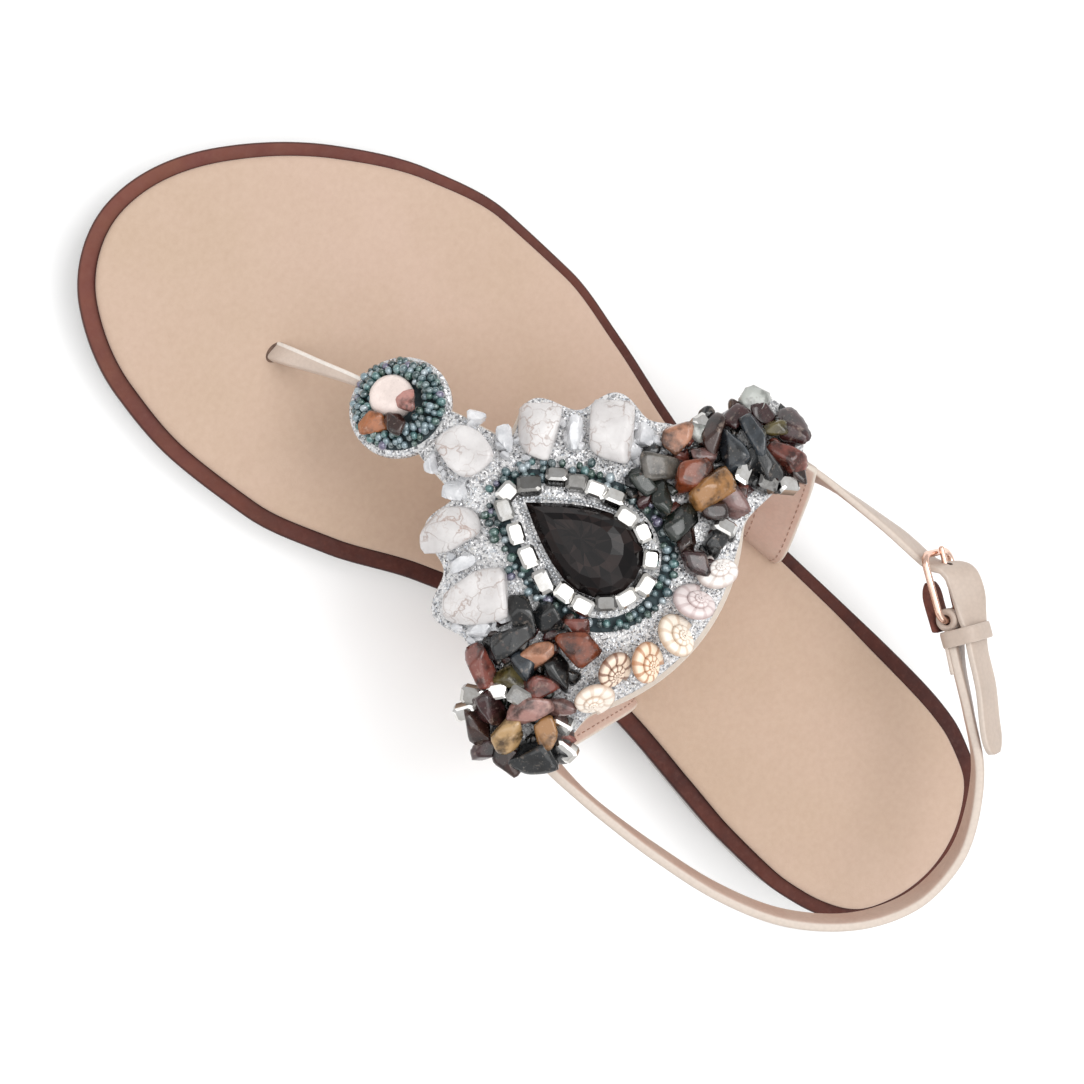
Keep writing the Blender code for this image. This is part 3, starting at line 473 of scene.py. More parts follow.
# station, across: square mirror beads round the crystal
MIRRORS = (
    (143.7, 1.6),
    (140.7, -2.4),
    (137.4, -7.4),
    (133.7, -9.6),
    (129.6, -11.1),
    (125.4, -11.7),
    (121.0, -11.3),
    (116.4, -10.2),
    (111.6, -6.9),
    (109.5, -2.1),
    (110.4, 2.5),
    (112.8, 6.3),
    (116.4, 9.4),
    (120.8, 10.8),
    (125.6, 10.9),
    (131.6, 9.6),
    (136.8, 7.6),
    (141.6, 5.0),
)
# station, across, yaw in degrees, lift: square mirror beads among the chips
LOOSE_MIRRORS = (
    (120.0, -37.4, -20.0, 0.6),
    (107.3, -34.2, -70.0, 1.6),
    (101.3, -36.6, 10.0, 1.2),
    (96.8, -39.7, 40.0, 0.6),
    (103.1, -22.4, 20.0, 0.6),
    (120.4, 38.7, 40.0, 0.8),
    (119.5, 42.4, 60.0, 0.6),
    (117.0, 34.8, 50.0, 1.8),
    (113.4, 32.3, 20.0, 2.6),
    (102.7, 30.6, 10.0, 1.0),
    (98.2, 34.7, 10.0, 0.8),
)


def unit(vectors):
    """Vectors brought to length one."""
    vectors = np.asarray(vectors, float)
    return vectors / np.linalg.norm(vectors, axis=-1, keepdims=True)


def loop_tangent(loop):
    """Directions along a closed loop, each from a point's two neighbours."""
    return unit(np.roll(loop, -1, axis=0) - np.roll(loop, 1, axis=0))


def arc_length(path):
    """Distance along a path from its start to each of its points."""
    return np.concatenate([[0.0], np.cumsum(np.linalg.norm(np.diff(path, axis=0), axis=1))])


def sampled(at, run, columns):
    """Columns of numbers given along a run, read at other places of that run."""
    return np.stack([np.interp(at, run, column) for column in np.transpose(columns)], axis=-1)


def oval_section(turn, squareness):
    """An oval of half sizes one: powers of cosine and sine keep its faces flat and its edges round."""
    circle = np.stack([np.cos(turn), np.sin(turn)])
    return np.sign(circle) * np.abs(circle) ** squareness


def fitted(shape):
    """Shapes brought to a box with sides of one, standing on the middle of its foot."""
    low = shape.min(axis=-2, keepdims=True)
    high = shape.max(axis=-2, keepdims=True)
    return (shape - low) / (high - low) - (0.5, 0.5, 0.0)


def in_metres(points):
    """Places given as station, across and height, turned into x, y and z in metres."""
    points = np.asarray(points, float)
    turned = [points[..., 1] - MID_ACROSS, MID_STATION - points[..., 0], points[..., 2]]
    return np.stack(turned, axis=-1) * MM


def shade(red, green, blue):
    """Screen values from 0 to 255 as the linear colour that a shader takes."""
    screen = np.array([red, green, blue]) / 255.0
    linear = np.where(screen <= 0.04045, screen / 12.92, ((screen + 0.055) / 1.055) ** 2.4)
    return (*[float(value) for value in linear], 1.0)


def eased(table, at, column=1):
    """A column of a table as a smooth curve over its first column.

    Cubic pieces join the rows without overshoot, and level runs stay level.
    """
    table = np.array(table, float)
    knots, values = table[:, 0], table[:, column]
    step = np.diff(knots)
    rise = np.diff(values) / step
    both = rise[:-1] * rise[1:]
    total = np.where(both > 0.0, rise[:-1] + rise[1:], 1.0)
    inner = np.where(both > 0.0, 2.0 * both / total, 0.0)
    slope = np.concatenate([rise[:1], inner, rise[-1:]])
    at = np.clip(at, knots[0], knots[-1])
    i = np.clip(np.searchsorted(knots, at, side="right") - 1, 0, len(step) - 1)
    h = step[i]
    t = (at - knots[i]) / h
    start = (1.0 + 2.0 * t) * (1.0 - t) ** 2 * values[i] + t * (1.0 - t) ** 2 * h * slope[i]
    end = t * t * (3.0 - 2.0 * t) * values[i + 1] + t * t * (t - 1.0) * h * slope[i + 1]
    return start + end


def through(rows, steps):
    """The rows of a table joined by cubic pieces that pass through each row."""
    rows = np.array(rows, float)
    longer = np.vstack([2.0 * rows[0] - rows[1], rows, 2.0 * rows[-1] - rows[-2]])
    a, b, c, d = (longer[k : len(longer) - 3 + k, None] for k in range(4))
    t = np.linspace(0.0, 1.0, steps, endpoint=False)[None, :, None]
    bend = (2.0 * a - 5.0 * b + 4.0 * c - d) * t**2 + (3.0 * b - a - 3.0 * c + d) * t**3
    run = 0.5 * (2.0 * b + (c - a) * t + bend)
    return np.vstack([run.reshape(-1, rows.shape[1]), rows[-1:]])


def loop_quads(rows, columns, ring=False):
    """Quads of a grid whose columns run round a loop; as a ring, its rows close on themselves too."""
    row = np.arange(rows if ring else rows - 1)[:, None]
    column = np.arange(columns)[None, :]
    next_row = (row + 1) % rows
    next_column = (column + 1) % columns
    corners = (
        row * columns + column,
        row * columns + next_column,
        next_row * columns + next_column,
        next_row * columns + column,
    )
    return np.stack(corners, axis=-1).reshape(-1, 4)


def repeated(quads, copies, points_each):
    """The quads of one shape repeated for a number of copies laid one after another."""
    return (quads[None] + np.arange(copies)[:, None, None] * points_each).reshape(-1, 4)


def linked(name, data):
    """A new object in the scene that holds the given data."""
    made = bpy.data.objects.new(name, data)
    bpy.context.scene.collection.objects.link(made)
    return made


def piece(name, points, quads, material, nodes=(), values=None, flat=False):
    """A closed piece from places in millimetres: doubles merged, faces turned outwards, riding on the shoe.

    Values are named numbers or colours for each point, kept for the material.
    """
    points = np.asarray(points, float).reshape(-1, 3)
    mesh = bpy.data.meshes.new(name)
    mesh.from_pydata(in_metres(points).tolist(), [], quads.tolist())
    for label, numbers in (values or {}).items():
        numbers = np.asarray(numbers, np.float32).reshape(len(points), -1)
        if numbers.shape[1] == 1:
            mesh.attributes.new(label, "FLOAT", "POINT").data.foreach_set("value", numbers.ravel())
        else:
            colours = np.column_stack([numbers, np.ones(len(points), np.float32)]).astype(np.float32)
            mesh.attributes.new(label, "FLOAT_COLOR", "POINT").data.foreach_set("color", colours.ravel())
    work = bmesh.new()
    work.from_mesh(mesh)
    bmesh.ops.remove_doubles(work, verts=work.verts, dist=0.001 * MM)
    bmesh.ops.recalc_face_normals(work, faces=work.faces)
    work.to_mesh(mesh)
    work.free()
    if flat:
        mesh.shade_flat()
    else:
        mesh.shade_smooth()
    made = linked(name, mesh)
    mesh.materials.append(material)
    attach(made, "root")
    if nodes:
        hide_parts(*nodes)
    return made


# Finishes


class Nodes:
    """A shader tree with short ways to add, feed and join its nodes."""

    def __init__(self, tree):
        self.tree = tree

    def feed(self, socket, value):
        if isinstance(value, bpy.types.NodeSocket):
            self.tree.links.new(value, socket)
        else:
            socket.default_value = value

    def add(self, kind, sockets=None, **settings):
        node = self.tree.nodes.new(kind)
        for key, value in settings.items():
            setattr(node, key, value)
        for key, value in (sockets or {}).items():
            self.feed(node.inputs[key], value)
        return node

    def place(self):
        return self.add("ShaderNodeTexCoord").outputs["Object"]

    def value(self, name):
        return self.add("ShaderNodeAttribute", attribute_name=name).outputs["Fac"]

    def colour(self, name):
        return self.add("ShaderNodeAttribute", attribute_name=name).outputs["Color"]

    def noise(self, vector, scale, detail=3.0, roughness=0.5):
        sockets = {"Vector": vector, "Scale": scale, "Detail": detail, "Roughness": roughness}
        return self.add("ShaderNodeTexNoise", sockets)

    def cloud(self, scale, detail=3.0, roughness=0.5):
        return self.noise(self.place(), scale, detail, roughness).outputs["Fac"]

    def cells(self, vector, scale, feature="F1"):
        return self.add("ShaderNodeTexVoronoi", {"Vector": vector, "Scale": scale}, feature=feature)

    def span(self, value, low, high, to_low=0.0, to_high=1.0):
        sockets = {"Value": value, "From Min": low, "From Max": high, "To Min": to_low, "To Max": to_high}
        return self.add("ShaderNodeMapRange", sockets).outputs["Result"]

    def maths(self, operation, first, second=0.0):
        return self.add("ShaderNodeMath", {0: first, 1: second}, operation=operation).outputs[0]

    def vector(self, operation, first, second=(0.0, 0.0, 0.0)):
        return self.add("ShaderNodeVectorMath", {0: first, 1: second}, operation=operation).outputs[0]

    def mix(self, factor, first, second, blend="MIX"):
        sockets = {0: factor, 6: first, 7: second}
        made = self.add("ShaderNodeMix", sockets, data_type="RGBA", blend_type=blend, clamp_factor=True)
        return made.outputs[2]

    def bump(self, height, strength, distance, normal=None):
        sockets = {"Height": height, "Strength": strength, "Distance": distance * MM}
        if normal is not None:
            sockets["Normal"] = normal
        return self.add("ShaderNodeBump", sockets).outputs["Normal"]

    def group(self, tree, sockets):
        node = self.add("ShaderNodeGroup", node_tree=tree)
        for key, value in sockets.items():
            self.feed(node.inputs[key], value)
        return node.outputs


def shared_effect(name, inputs, outputs):
    """An empty node group with named sockets: its tree, its input sockets and its output node."""
    tree = bpy.data.node_groups.new(name, "ShaderNodeTree")
    for label, kind in inputs:
        tree.interface.new_socket(label, in_out="INPUT", socket_type=f"NodeSocket{kind}")
    for label, kind in outputs:
        tree.interface.new_socket(label, in_out="OUTPUT", socket_type=f"NodeSocket{kind}")
    nodes = Nodes(tree)
    return nodes, nodes.add("NodeGroupInput").outputs, nodes.add("NodeGroupOutput").inputs


def make_mottle():
    """Two colours in soft clouds: noise stretched between two levels mixes the one into the other."""
    inputs = (
        ("Vector", "Vector"),
        ("Scale", "Float"),
        ("First", "Color"),
        ("Second", "Color"),
        ("Low", "Float"),
        ("High", "Float"),
    )
    nodes, given, out = shared_effect("soft_mottle", inputs, (("Color", "Color"),))
    cloud = nodes.noise(given["Vector"], given["Scale"], 4.0, 0.6).outputs["Fac"]
    mask = nodes.span(cloud, given["Low"], given["High"])
    nodes.feed(out["Color"], nodes.mix(mask, given["First"], given["Second"]))
    return nodes.tree


def make_grain():
    """Leather grain: pebbles from the distance to the nearest cell centre, broken by fine noise."""
    inputs = (("Vector", "Vector"), ("Scale", "Float"))
    nodes, given, out = shared_effect("leather_grain", inputs, (("Height", "Float"), ("Crease", "Float")))
    pebble = nodes.cells(given["Vector"], given["Scale"], "F1").outputs["Distance"]
    fine_scale = nodes.maths("MULTIPLY", given["Scale"], 2.6)
    fine = nodes.noise(given["Vector"], fine_scale, 2.0).outputs["Fac"]
    crease = nodes.span(pebble, 0.35, 0.75)
    lowered = nodes.maths("MULTIPLY", crease, -0.7)
    nodes.feed(out["Height"], nodes.maths("ADD", lowered, nodes.maths("MULTIPLY", fine, 0.5)))
    nodes.feed(out["Crease"], crease)
    return nodes.tree


def make_fine_scuff():
    """Small uneven polish: a roughness that wanders between two levels with fine noise."""
    inputs = (("Vector", "Vector"), ("Scale", "Float"), ("Low", "Float"), ("High", "Float"))
    nodes, given, out = shared_effect("fine_scuff", inputs, (("Roughness", "Float"), ("Height", "Float")))
    wander = nodes.noise(given["Vector"], given["Scale"], 4.0, 0.65).outputs["Fac"]
    nodes.feed(out["Roughness"], nodes.span(wander, 0.3, 0.7, given["Low"], given["High"]))
    nodes.feed(out["Height"], wander)
    return nodes.tree


MOTTLE = make_mottle()
GRAIN = make_grain()
SCUFF = make_fine_scuff()


def new_finish(name, **constants):
    """A material with one Principled shader, its plain numbers set on the shader's own sockets."""
    made = bpy.data.materials.new(name)
    made.use_nodes = True
    shader = made.node_tree.nodes["Principled BSDF"]
    for key, value in constants.items():
        shader.inputs[key.replace("_", " ").title().replace("Ior", "IOR")].default_value = value
    return made, Nodes(made.node_tree), shader.inputs


def mottled(nodes, scale, first, second, low=0.35, high=0.65):
    """The cloud effect placed in a material: its colour."""
    sockets = {
        "Vector": nodes.place(),
        "Scale": scale,
        "First": first,
        "Second": second,
        "Low": low,
        "High": high,
    }
    return nodes.group(MOTTLE, sockets)["Color"]


def scuffed(nodes, shader, scale, low, high):
    """The uneven polish fed to a shader's roughness. Returns its height."""
    sockets = {"Vector": nodes.place(), "Scale": scale, "Low": low, "High": high}
    effect = nodes.group(SCUFF, sockets)
    nodes.feed(shader["Roughness"], effect["Roughness"])
    return effect["Height"]


def make_leather(name, face, lining, edge, grain_scale, polish):
    """Smooth strap leather: face and lining by the piece's own value, painted edges, pebbled grain."""
    made, nodes, shader = new_finish(name, coat_roughness=0.35)
    darker = shade(*(np.array(face) * 0.94))
    warmer = shade(*(np.array(lining) * (0.97, 0.93, 0.92)))
    outside = mottled(nodes, 60.0, shade(*face), darker)
    inside = mottled(nodes, 90.0, shade(*lining), warmer)
    base = nodes.mix(nodes.value("lining"), outside, inside)
    rim = nodes.span(nodes.value("edge"), 0.9, 0.98)
    grain = nodes.group(GRAIN, {"Vector": nodes.place(), "Scale": grain_scale})
    painted = nodes.mix(rim, base, shade(*edge))
    deep = shade(*(np.array(face) * 0.62))
    creased = nodes.mix(nodes.maths("MULTIPLY", grain["Crease"], 0.08), painted, deep)
    nodes.feed(shader["Base Color"], creased)
    scuffed(nodes, shader, 700.0, polish, polish + 0.16)
    nodes.feed(shader["Coat Weight"], nodes.maths("MULTIPLY", rim, 0.25))
    nodes.feed(shader["Normal"], nodes.bump(grain["Height"], 0.22, 0.1))
    return made


def make_suede():
    """Tan sock: clouds of pinkish and greyish tan under a short nap, with painted shade where its edge rolls
    down.
    """
    made, nodes, shader = new_finish("tan_suede_nap", roughness=0.92, sheen_weight=0.25, sheen_roughness=0.5)
    broad = mottled(nodes, 16.0, shade(198, 170, 155), shade(186, 161, 139), 0.35, 0.65)
    small = mottled(nodes, 60.0, shade(192, 168, 149), shade(185, 160, 140), 0.25, 0.75)
    fleck = mottled(nodes, 700.0, shade(202, 180, 162), shade(168, 143, 124), 0.2, 0.8)
    colour = nodes.mix(0.25, nodes.mix(0.5, broad, small), fleck)
    # painted shade: the suede darkens towards its rolled edge, where it meets the rim
    rolled = nodes.span(nodes.value("edge"), 0.0, 1.0)
    colour = nodes.mix(nodes.maths("MULTIPLY", rolled, 0.35), colour, shade(150, 112, 90))
    nodes.feed(shader["Base Color"], colour)
    nap = nodes.cloud(2600.0, 3.0, 0.7)
    brushed = nodes.cloud(260.0, 3.0, 0.6)
    soft = nodes.bump(brushed, 0.10, 0.4)
    nodes.feed(shader["Normal"], nodes.bump(nap, 0.35, 0.10, soft))
    return made


def make_board():
    """Reddish-brown rim: burnished board, darker along its outer edge, with a painted shadow along its inner
    edge by the sock, paler towards the toe, fine fibres.
    """
    made, nodes, shader = new_finish("burnished_board", coat_roughness=0.3, specular_ior_level=0.25)
    base = mottled(nodes, 60.0, shade(88, 44, 34), shade(62, 27, 22))
    parts = nodes.add("ShaderNodeSeparateXYZ", {"Vector": nodes.place()}).outputs
    toe = nodes.span(parts["Y"], -0.02, -0.125)
    pale = mottled(nodes, 70.0, shade(132, 82, 66), shade(118, 66, 60))
    base = nodes.mix(nodes.maths("MULTIPLY", toe, 0.65), base, pale)
    fibre = nodes.cloud(900.0, 5.0, 0.7)
    base = nodes.mix(nodes.span(fibre, 0.5, 0.8, 0.0, 0.2), base, shade(130, 86, 74))
    rim = nodes.value("rim")
    # dark lines along the rim's top: darker board at its outer edge, and at its inner edge a painted shadow
    # where the sock meets it
    outer = nodes.span(rim, 0.16, 0.04)
    inner = nodes.span(rim, 0.88, 0.98)
    line = nodes.maths("MAXIMUM", outer, inner)
    nodes.feed(shader["Base Color"], nodes.mix(nodes.maths("MULTIPLY", line, 0.62), base, shade(40, 17, 16)))
    scuffed(nodes, shader, 500.0, 0.5, 0.7)
    nodes.feed(shader["Coat Weight"], nodes.maths("MULTIPLY", outer, 0.2))
    nodes.feed(shader["Normal"], nodes.bump(fibre, 0.25, 0.12))
    return made


def make_rubber():
    """Grey moulded sole: satin wall with faint flow marks, and slanting ribs under the foot."""
    made, nodes, shader = new_finish("grey_moulded_sole")
    base = mottled(nodes, 35.0, shade(178, 175, 171), shade(166, 163, 160))
    dusty = nodes.cloud(600.0, 4.0, 0.6)
    base = nodes.mix(nodes.span(dusty, 0.45, 0.75, 0.0, 0.2), base, shade(140, 136, 132))
    tread = nodes.value("tread")
    slant = (0.0, 0.0, math.radians(32.0))
    slanted = nodes.add("ShaderNodeMapping", {"Vector": nodes.place(), "Rotation": slant})
    ribs = nodes.add(
        "ShaderNodeTexWave",
        {"Vector": slanted.outputs["Vector"], "Scale": 95.0, "Distortion": 0.6, "Detail": 1.0},
    ).outputs["Fac"]
    ribbed = nodes.maths("MULTIPLY", nodes.span(ribs, 0.35, 0.65), tread)
    base = nodes.mix(nodes.maths("MULTIPLY", ribbed, 0.25), base, shade(120, 117, 114))
    nodes.feed(shader["Base Color"], base)
    satin = scuffed(nodes, shader, 450.0, 0.36, 0.52)
    fine = nodes.bump(satin, 0.12, 0.1)
    nodes.feed(shader["Normal"], nodes.bump(ribbed, 0.8, 0.9, fine))
    return made


def make_glitter():
    """Glitter cloth: crowded flat flakes, each cell with its own tilt, tint and brightness."""
    made, nodes, shader = new_finish("silver_glitter", coat_roughness=0.1)
    flakes = nodes.cells(nodes.place(), 2300.0)
    tiny = nodes.cells(nodes.place(), 4600.0)
    split = nodes.add("ShaderNodeSeparateColor", {"Color": flakes.outputs["Color"]}).outputs
    bright = nodes.span(split["Red"], 0.0, 0.5)
    base = nodes.mix(bright, shade(104, 104, 108), shade(224, 223, 223))
    tint = nodes.span(split["Blue"], 0.82, 0.95, 0.0, 0.5)
    base = nodes.mix(tint, base, shade(188, 194, 202))
    seam = nodes.span(flakes.outputs["Distance"], 0.5, 0.85, 0.0, 0.3)
    base = nodes.mix(seam, base, shade(104, 104, 108))
    nodes.feed(shader["Base Color"], base)
    nodes.feed(shader["Metallic"], nodes.span(split["Green"], 0.45, 0.9, 0.0, 0.8))
    nodes.feed(shader["Roughness"], nodes.span(split["Blue"], 0.0, 1.0, 0.16, 0.42))
    flat = nodes.add("ShaderNodeNewGeometry").outputs["Normal"]
    half = (0.5, 0.5, 0.5)
    lean = nodes.vector("SUBTRACT", flakes.outputs["Color"], half)
    little = nodes.vector("SUBTRACT", tiny.outputs["Color"], half)
    part = nodes.vector("MULTIPLY", nodes.vector("ADD", lean, little), half)
    nodes.feed(shader["Normal"], nodes.vector("NORMALIZE", nodes.vector("ADD", flat, part)))
    return made


def make_stone(name, cloud_scale, polish, depth):
    """Polished stone: its own colour in soft clouds, pale flaws, specks, small pits and a glossy coat."""
    made, nodes, shader = new_finish(name, coat_weight=0.35, coat_roughness=0.06, ior=1.5)
    own = nodes.colour("tint")
    deeper = nodes.mix(depth, own, shade(60, 50, 46), "MULTIPLY")
    paler = nodes.mix(0.35, own, shade(228, 206, 188))
    cloud = nodes.cloud(cloud_scale, 4.0, 0.6)
    flaw = nodes.cloud(cloud_scale * 1.7, 5.0, 0.7)
    base = nodes.mix(nodes.span(cloud, 0.36, 0.56), deeper, own)
    base = nodes.mix(nodes.span(flaw, 0.58, 0.76, 0.0, 0.7), base, paler)
    speck = nodes.cloud(1600.0, 2.0)
    base = nodes.mix(nodes.span(speck, 0.64, 0.8, 0.0, 0.18), base, shade(226, 212, 198))
    pits = nodes.span(nodes.cells(nodes.place(), 330.0).outputs["Distance"], 0.16, 0.06, 0.0, 0.7)
    nodes.feed(shader["Base Color"], nodes.mix(pits, base, shade(70, 54, 48)))
    worn = scuffed(nodes, shader, 900.0, polish, polish + 0.14)
    nodes.feed(shader["Normal"], nodes.bump(worn, 0.1, 0.15))
    return made


def make_howlite():
    """White veined stone: chalky white, warped cell edges as fine grey and rust veins, low gloss."""
    made, nodes, shader = new_finish("white_veined_stone", coat_weight=0.4, coat_roughness=0.12, ior=1.52)
    base = mottled(nodes, 130.0, shade(216, 213, 212), shade(194, 190, 189))
    warp = nodes.noise(nodes.place(), 260.0, 3.0).outputs["Color"]
    bent = nodes.vector("MULTIPLY", warp, (0.006, 0.006, 0.006))
    moved = nodes.vector("ADD", nodes.place(), bent)
    cells = nodes.cells(moved, 210.0, "DISTANCE_TO_EDGE").outputs["Distance"]
    fine = nodes.cells(moved, 430.0, "DISTANCE_TO_EDGE").outputs["Distance"]
    patch = nodes.cloud(150.0, 2.0)
    strong = nodes.maths("MULTIPLY", nodes.span(cells, 0.045, 0.0), nodes.span(patch, 0.4, 0.56))
    faint = nodes.maths("MULTIPLY", nodes.span(fine, 0.05, 0.0, 0.0, 0.45), nodes.span(patch, 0.45, 0.65))
    hue = mottled(nodes, 120.0, shade(128, 114, 108), shade(150, 112, 92))
    base = nodes.mix(faint, base, shade(166, 148, 138))
    nodes.feed(shader["Base Color"], nodes.mix(nodes.maths("MULTIPLY", strong, 0.66), base, hue))
    worn = scuffed(nodes, shader, 700.0, 0.24, 0.42)
    pitted = nodes.maths("MULTIPLY", strong, -1.0)
    nodes.feed(shader["Normal"], nodes.bump(pitted, 0.3, 0.2, nodes.bump(worn, 0.15, 0.2)))
    return made


def make_pearl():
    """Seed beads: each bead's own teal, pearly streaks, a bright coat."""
    coat = {"coat_weight": 1.0, "coat_roughness": 0.03, "coat_ior": 1.7}
    made, nodes, shader = new_finish("pearly_seed_bead", metallic=0.3, **coat)
    own = nodes.colour("tint")
    streak = nodes.cloud(900.0, 3.0)
    pale = nodes.mix(nodes.span(streak, 0.45, 0.75, 0.0, 0.5), own, shade(186, 200, 204))
    nodes.feed(shader["Base Color"], pale)
    nodes.feed(shader["Roughness"], nodes.span(streak, 0.3, 0.7, 0.14, 0.32))
    return made


def make_mirror():
    """Mirror beads: bright silver with faint tarnish clouds in the polish, dimmed by each point's painted
    reflection.
    """
    made, nodes, shader = new_finish("mirror_bead", metallic=1.0)
    cloud = mottled(nodes, 300.0, shade(255, 254, 252), shade(226, 222, 216))
    # the tint is painted reflection: each bead's own silver level, darker towards its foot
    nodes.feed(shader["Base Color"], nodes.mix(1.0, nodes.colour("tint"), cloud, "MULTIPLY"))
    scuffed(nodes, shader, 800.0, 0.05, 0.16)
    return made


def make_smoky():
    """Smoky crystal: near-black glass whose facets each show their own share of brown as a painted inner
    reflection.
    """
    made, nodes, shader = new_finish("smoky_crystal_facets", specular_ior_level=0.22)
    # painted reflection: each facet's random brown stands in for light reflected inside the crystal
    depth = nodes.value("facet")
    cloud = nodes.cloud(240.0, 3.0)
    deep = nodes.mix(depth, shade(10, 8, 9), shade(46, 36, 34))
    clouded = nodes.mix(nodes.span(cloud, 0.4, 0.7, 0.0, 0.4), deep, shade(14, 11, 12))
    nodes.feed(shader["Base Color"], clouded)
    nodes.feed(shader["Roughness"], nodes.span(cloud, 0.3, 0.7, 0.03, 0.1))
    return made


def make_clear():
    """Clear crystal: colourless glass with faint inner haze."""
    glass = {"transmission_weight": 0.3, "ior": 1.54, "coat_weight": 0.5}
    made, nodes, shader = new_finish("clear_crystal_glass", **glass)
    haze = mottled(nodes, 350.0, shade(246, 246, 248), shade(206, 208, 212))
    nodes.feed(shader["Base Color"], haze)
    scuffed(nodes, shader, 800.0, 0.02, 0.1)
    return made


def make_shell():
    """Small shells: bands of the stripe colour across the whorls, a dark suture, soft gloss."""
    made, nodes, shader = new_finish("striped_shell", coat_weight=0.35, coat_roughness=0.15)
    wobble = nodes.cloud(500.0, 2.0)
    phase = nodes.maths("ADD", nodes.value("winding"), nodes.maths("MULTIPLY", wobble, 1.2))
    band = nodes.span(nodes.maths("SINE", phase), 0.3, 0.85)
    suture = nodes.span(nodes.value("suture"), 0.9, 1.0, 0.0, 0.75)
    strength = nodes.maths("MULTIPLY", band, nodes.value("striped"))
    base = nodes.mix(strength, nodes.colour("tint"), nodes.colour("stripe"))
    base = nodes.mix(suture, base, nodes.colour("stripe"))
    nodes.feed(shader["Base Color"], base)
    nodes.feed(shader["Roughness"], nodes.span(wobble, 0.3, 0.7, 0.28, 0.42))
    nodes.feed(shader["Normal"], nodes.bump(band, 0.25, 0.12))
    return made


def make_rose_gold():
    """Rose-gold buckle: polished plating with fine wipe marks."""
    made, nodes, shader = new_finish("rose_gold_plating", metallic=1.0)
    base = mottled(nodes, 200.0, shade(238, 206, 190), shade(226, 188, 170))
    nodes.feed(shader["Base Color"], base)
    worn = scuffed(nodes, shader, 1100.0, 0.14, 0.3)
    nodes.feed(shader["Normal"], nodes.bump(worn, 0.06, 0.08))
    return made


def make_thread(name, light, dark):
    """Sewing thread: twisted plies as slanting stripes of light and shade."""
    made, nodes, shader = new_finish(name, roughness=0.7, sheen_weight=0.3)
    ply = nodes.add(
        "ShaderNodeTexWave", {"Vector": nodes.place(), "Scale": 900.0, "Distortion": 3.0, "Detail": 2.0}
    ).outputs["Fac"]
    nodes.feed(shader["Base Color"], nodes.mix(ply, shade(*dark), shade(*light)))
    nodes.feed(shader["Normal"], nodes.bump(ply, 0.4, 0.08))
    return made


def make_dull(name, light, dark):
    """Dull fibrous finish in two close shades, with a felted surface."""
    made, nodes, shader = new_finish(name, roughness=0.85)
    nodes.feed(shader["Base Color"], mottled(nodes, 900.0, shade(*light), shade(*dark)))
    felted = nodes.cloud(1500.0, 3.0, 0.7)
    nodes.feed(shader["Normal"], nodes.bump(felted, 0.3, 0.15))
    return made


def make_floor_finish():
    """Plain pale floor with the faintest unevenness."""
    made, nodes, shader = new_finish("pale_floor", roughness=0.85)
    nodes.feed(shader["Base Color"], mottled(nodes, 1.2, shade(250, 250, 250), shade(247, 247, 247)))
    return made


# name, then face, lining and painted edge as screen values, scale of the grain, polish
LEATHERS = (
    ("beige_strap_leather", (190, 173, 160), (188, 163, 149), (202, 188, 176), 1150.0, 0.42),
    ("cream_upper_leather", (206, 193, 180), (206, 180, 166), (214, 203, 191), 1150.0, 0.42),
    # the post leather's edge colour shows only on the toe post's raised edge, as a painted highlight
    ("pale_post_leather", (206, 189, 176), (206, 189, 176), (234, 227, 219), 1300.0, 0.36),
)
STRAP_LEATHER, UPPER_LEATHER, POST_LEATHER = [make_leather(*row) for row in LEATHERS]
SUEDE = make_suede()
BOARD = make_board()
RUBBER = make_rubber()
GLITTER = make_glitter()
CHIP_STONE = make_stone("tumbled_chip", 240.0, 0.14, 0.85)
PINK_STONE = make_stone("pink_speckled_stone", 180.0, 0.22, 0.2)
HOWLITE = make_howlite()
PEARL = make_pearl()
MIRROR = make_mirror()
SMOKY = make_smoky()
CLEAR = make_clear()
SHELL_FINISH = make_shell()
ROSE_GOLD = make_rose_gold()
# painted shade: dark plugs that fill the strap's holes
HOLE_SHADE = make_dull("painted_hole_shade", (66, 46, 38), (44, 30, 26))
SLIT = make_dull("shaded_slit", (112, 88, 74), (84, 64, 54))
# lining behind the buckle: its own brown darkened by painted shade
SHADED_LINING = make_dull("shaded_buckle_lining", (112, 62, 50), (88, 46, 38))
# painted shade: a dark bed under the beads stands in for the shade in the gaps between them
BEAD_GAP_SHADE = make_dull("bead_gap_shade", (58, 72, 76), (38, 48, 52))
BEIGE_THREAD = make_thread("beige_thread", (196, 182, 170), (164, 148, 136))
BROWN_THREAD = make_thread("tan_thread", (178, 138, 118), (134, 98, 82))


# Sole


def sole_outline():
    """The sole's outline from the heel up the inner side and back down the outer side.

    The station runs as half a cosine, so that both ends come out round. With the loop come its outward
    normals and the width of the free rim.
    """
    half = OUTLINE_POINTS // 2
    length = TOE_STATION - HEEL_STATION
    phase = np.linspace(0.0, math.pi, half + 1)
    station = HEEL_STATION + length / 2.0 * (1.0 - np.cos(phase))
    rows = np.array(SOLE_EDGE)
    rows[:, 0] = np.arccos(1.0 - 2.0 * (rows[:, 0] - HEEL_STATION) / length)
    inner = np.column_stack([station, eased(rows, phase, 1), eased(rows, phase, 3)])
    outer = np.column_stack([station, -eased(rows, phase, 2), eased(rows, phase, 4)])
    loop = np.vstack([inner, outer[-2:0:-1]])
    edge = loop[:, :2]
    tangent = loop_tangent(edge)
    return edge, np.column_stack([-tangent[:, 1], tangent[:, 0]]), loop[:, 2]


OUTLINE, OUTLINE_NORMAL, RIM = sole_outline()
OPPOSITE = (-np.arange(OUTLINE_POINTS)) % OUTLINE_POINTS
FLARE = eased(WALL_FLARE, OUTLINE[:, 0])


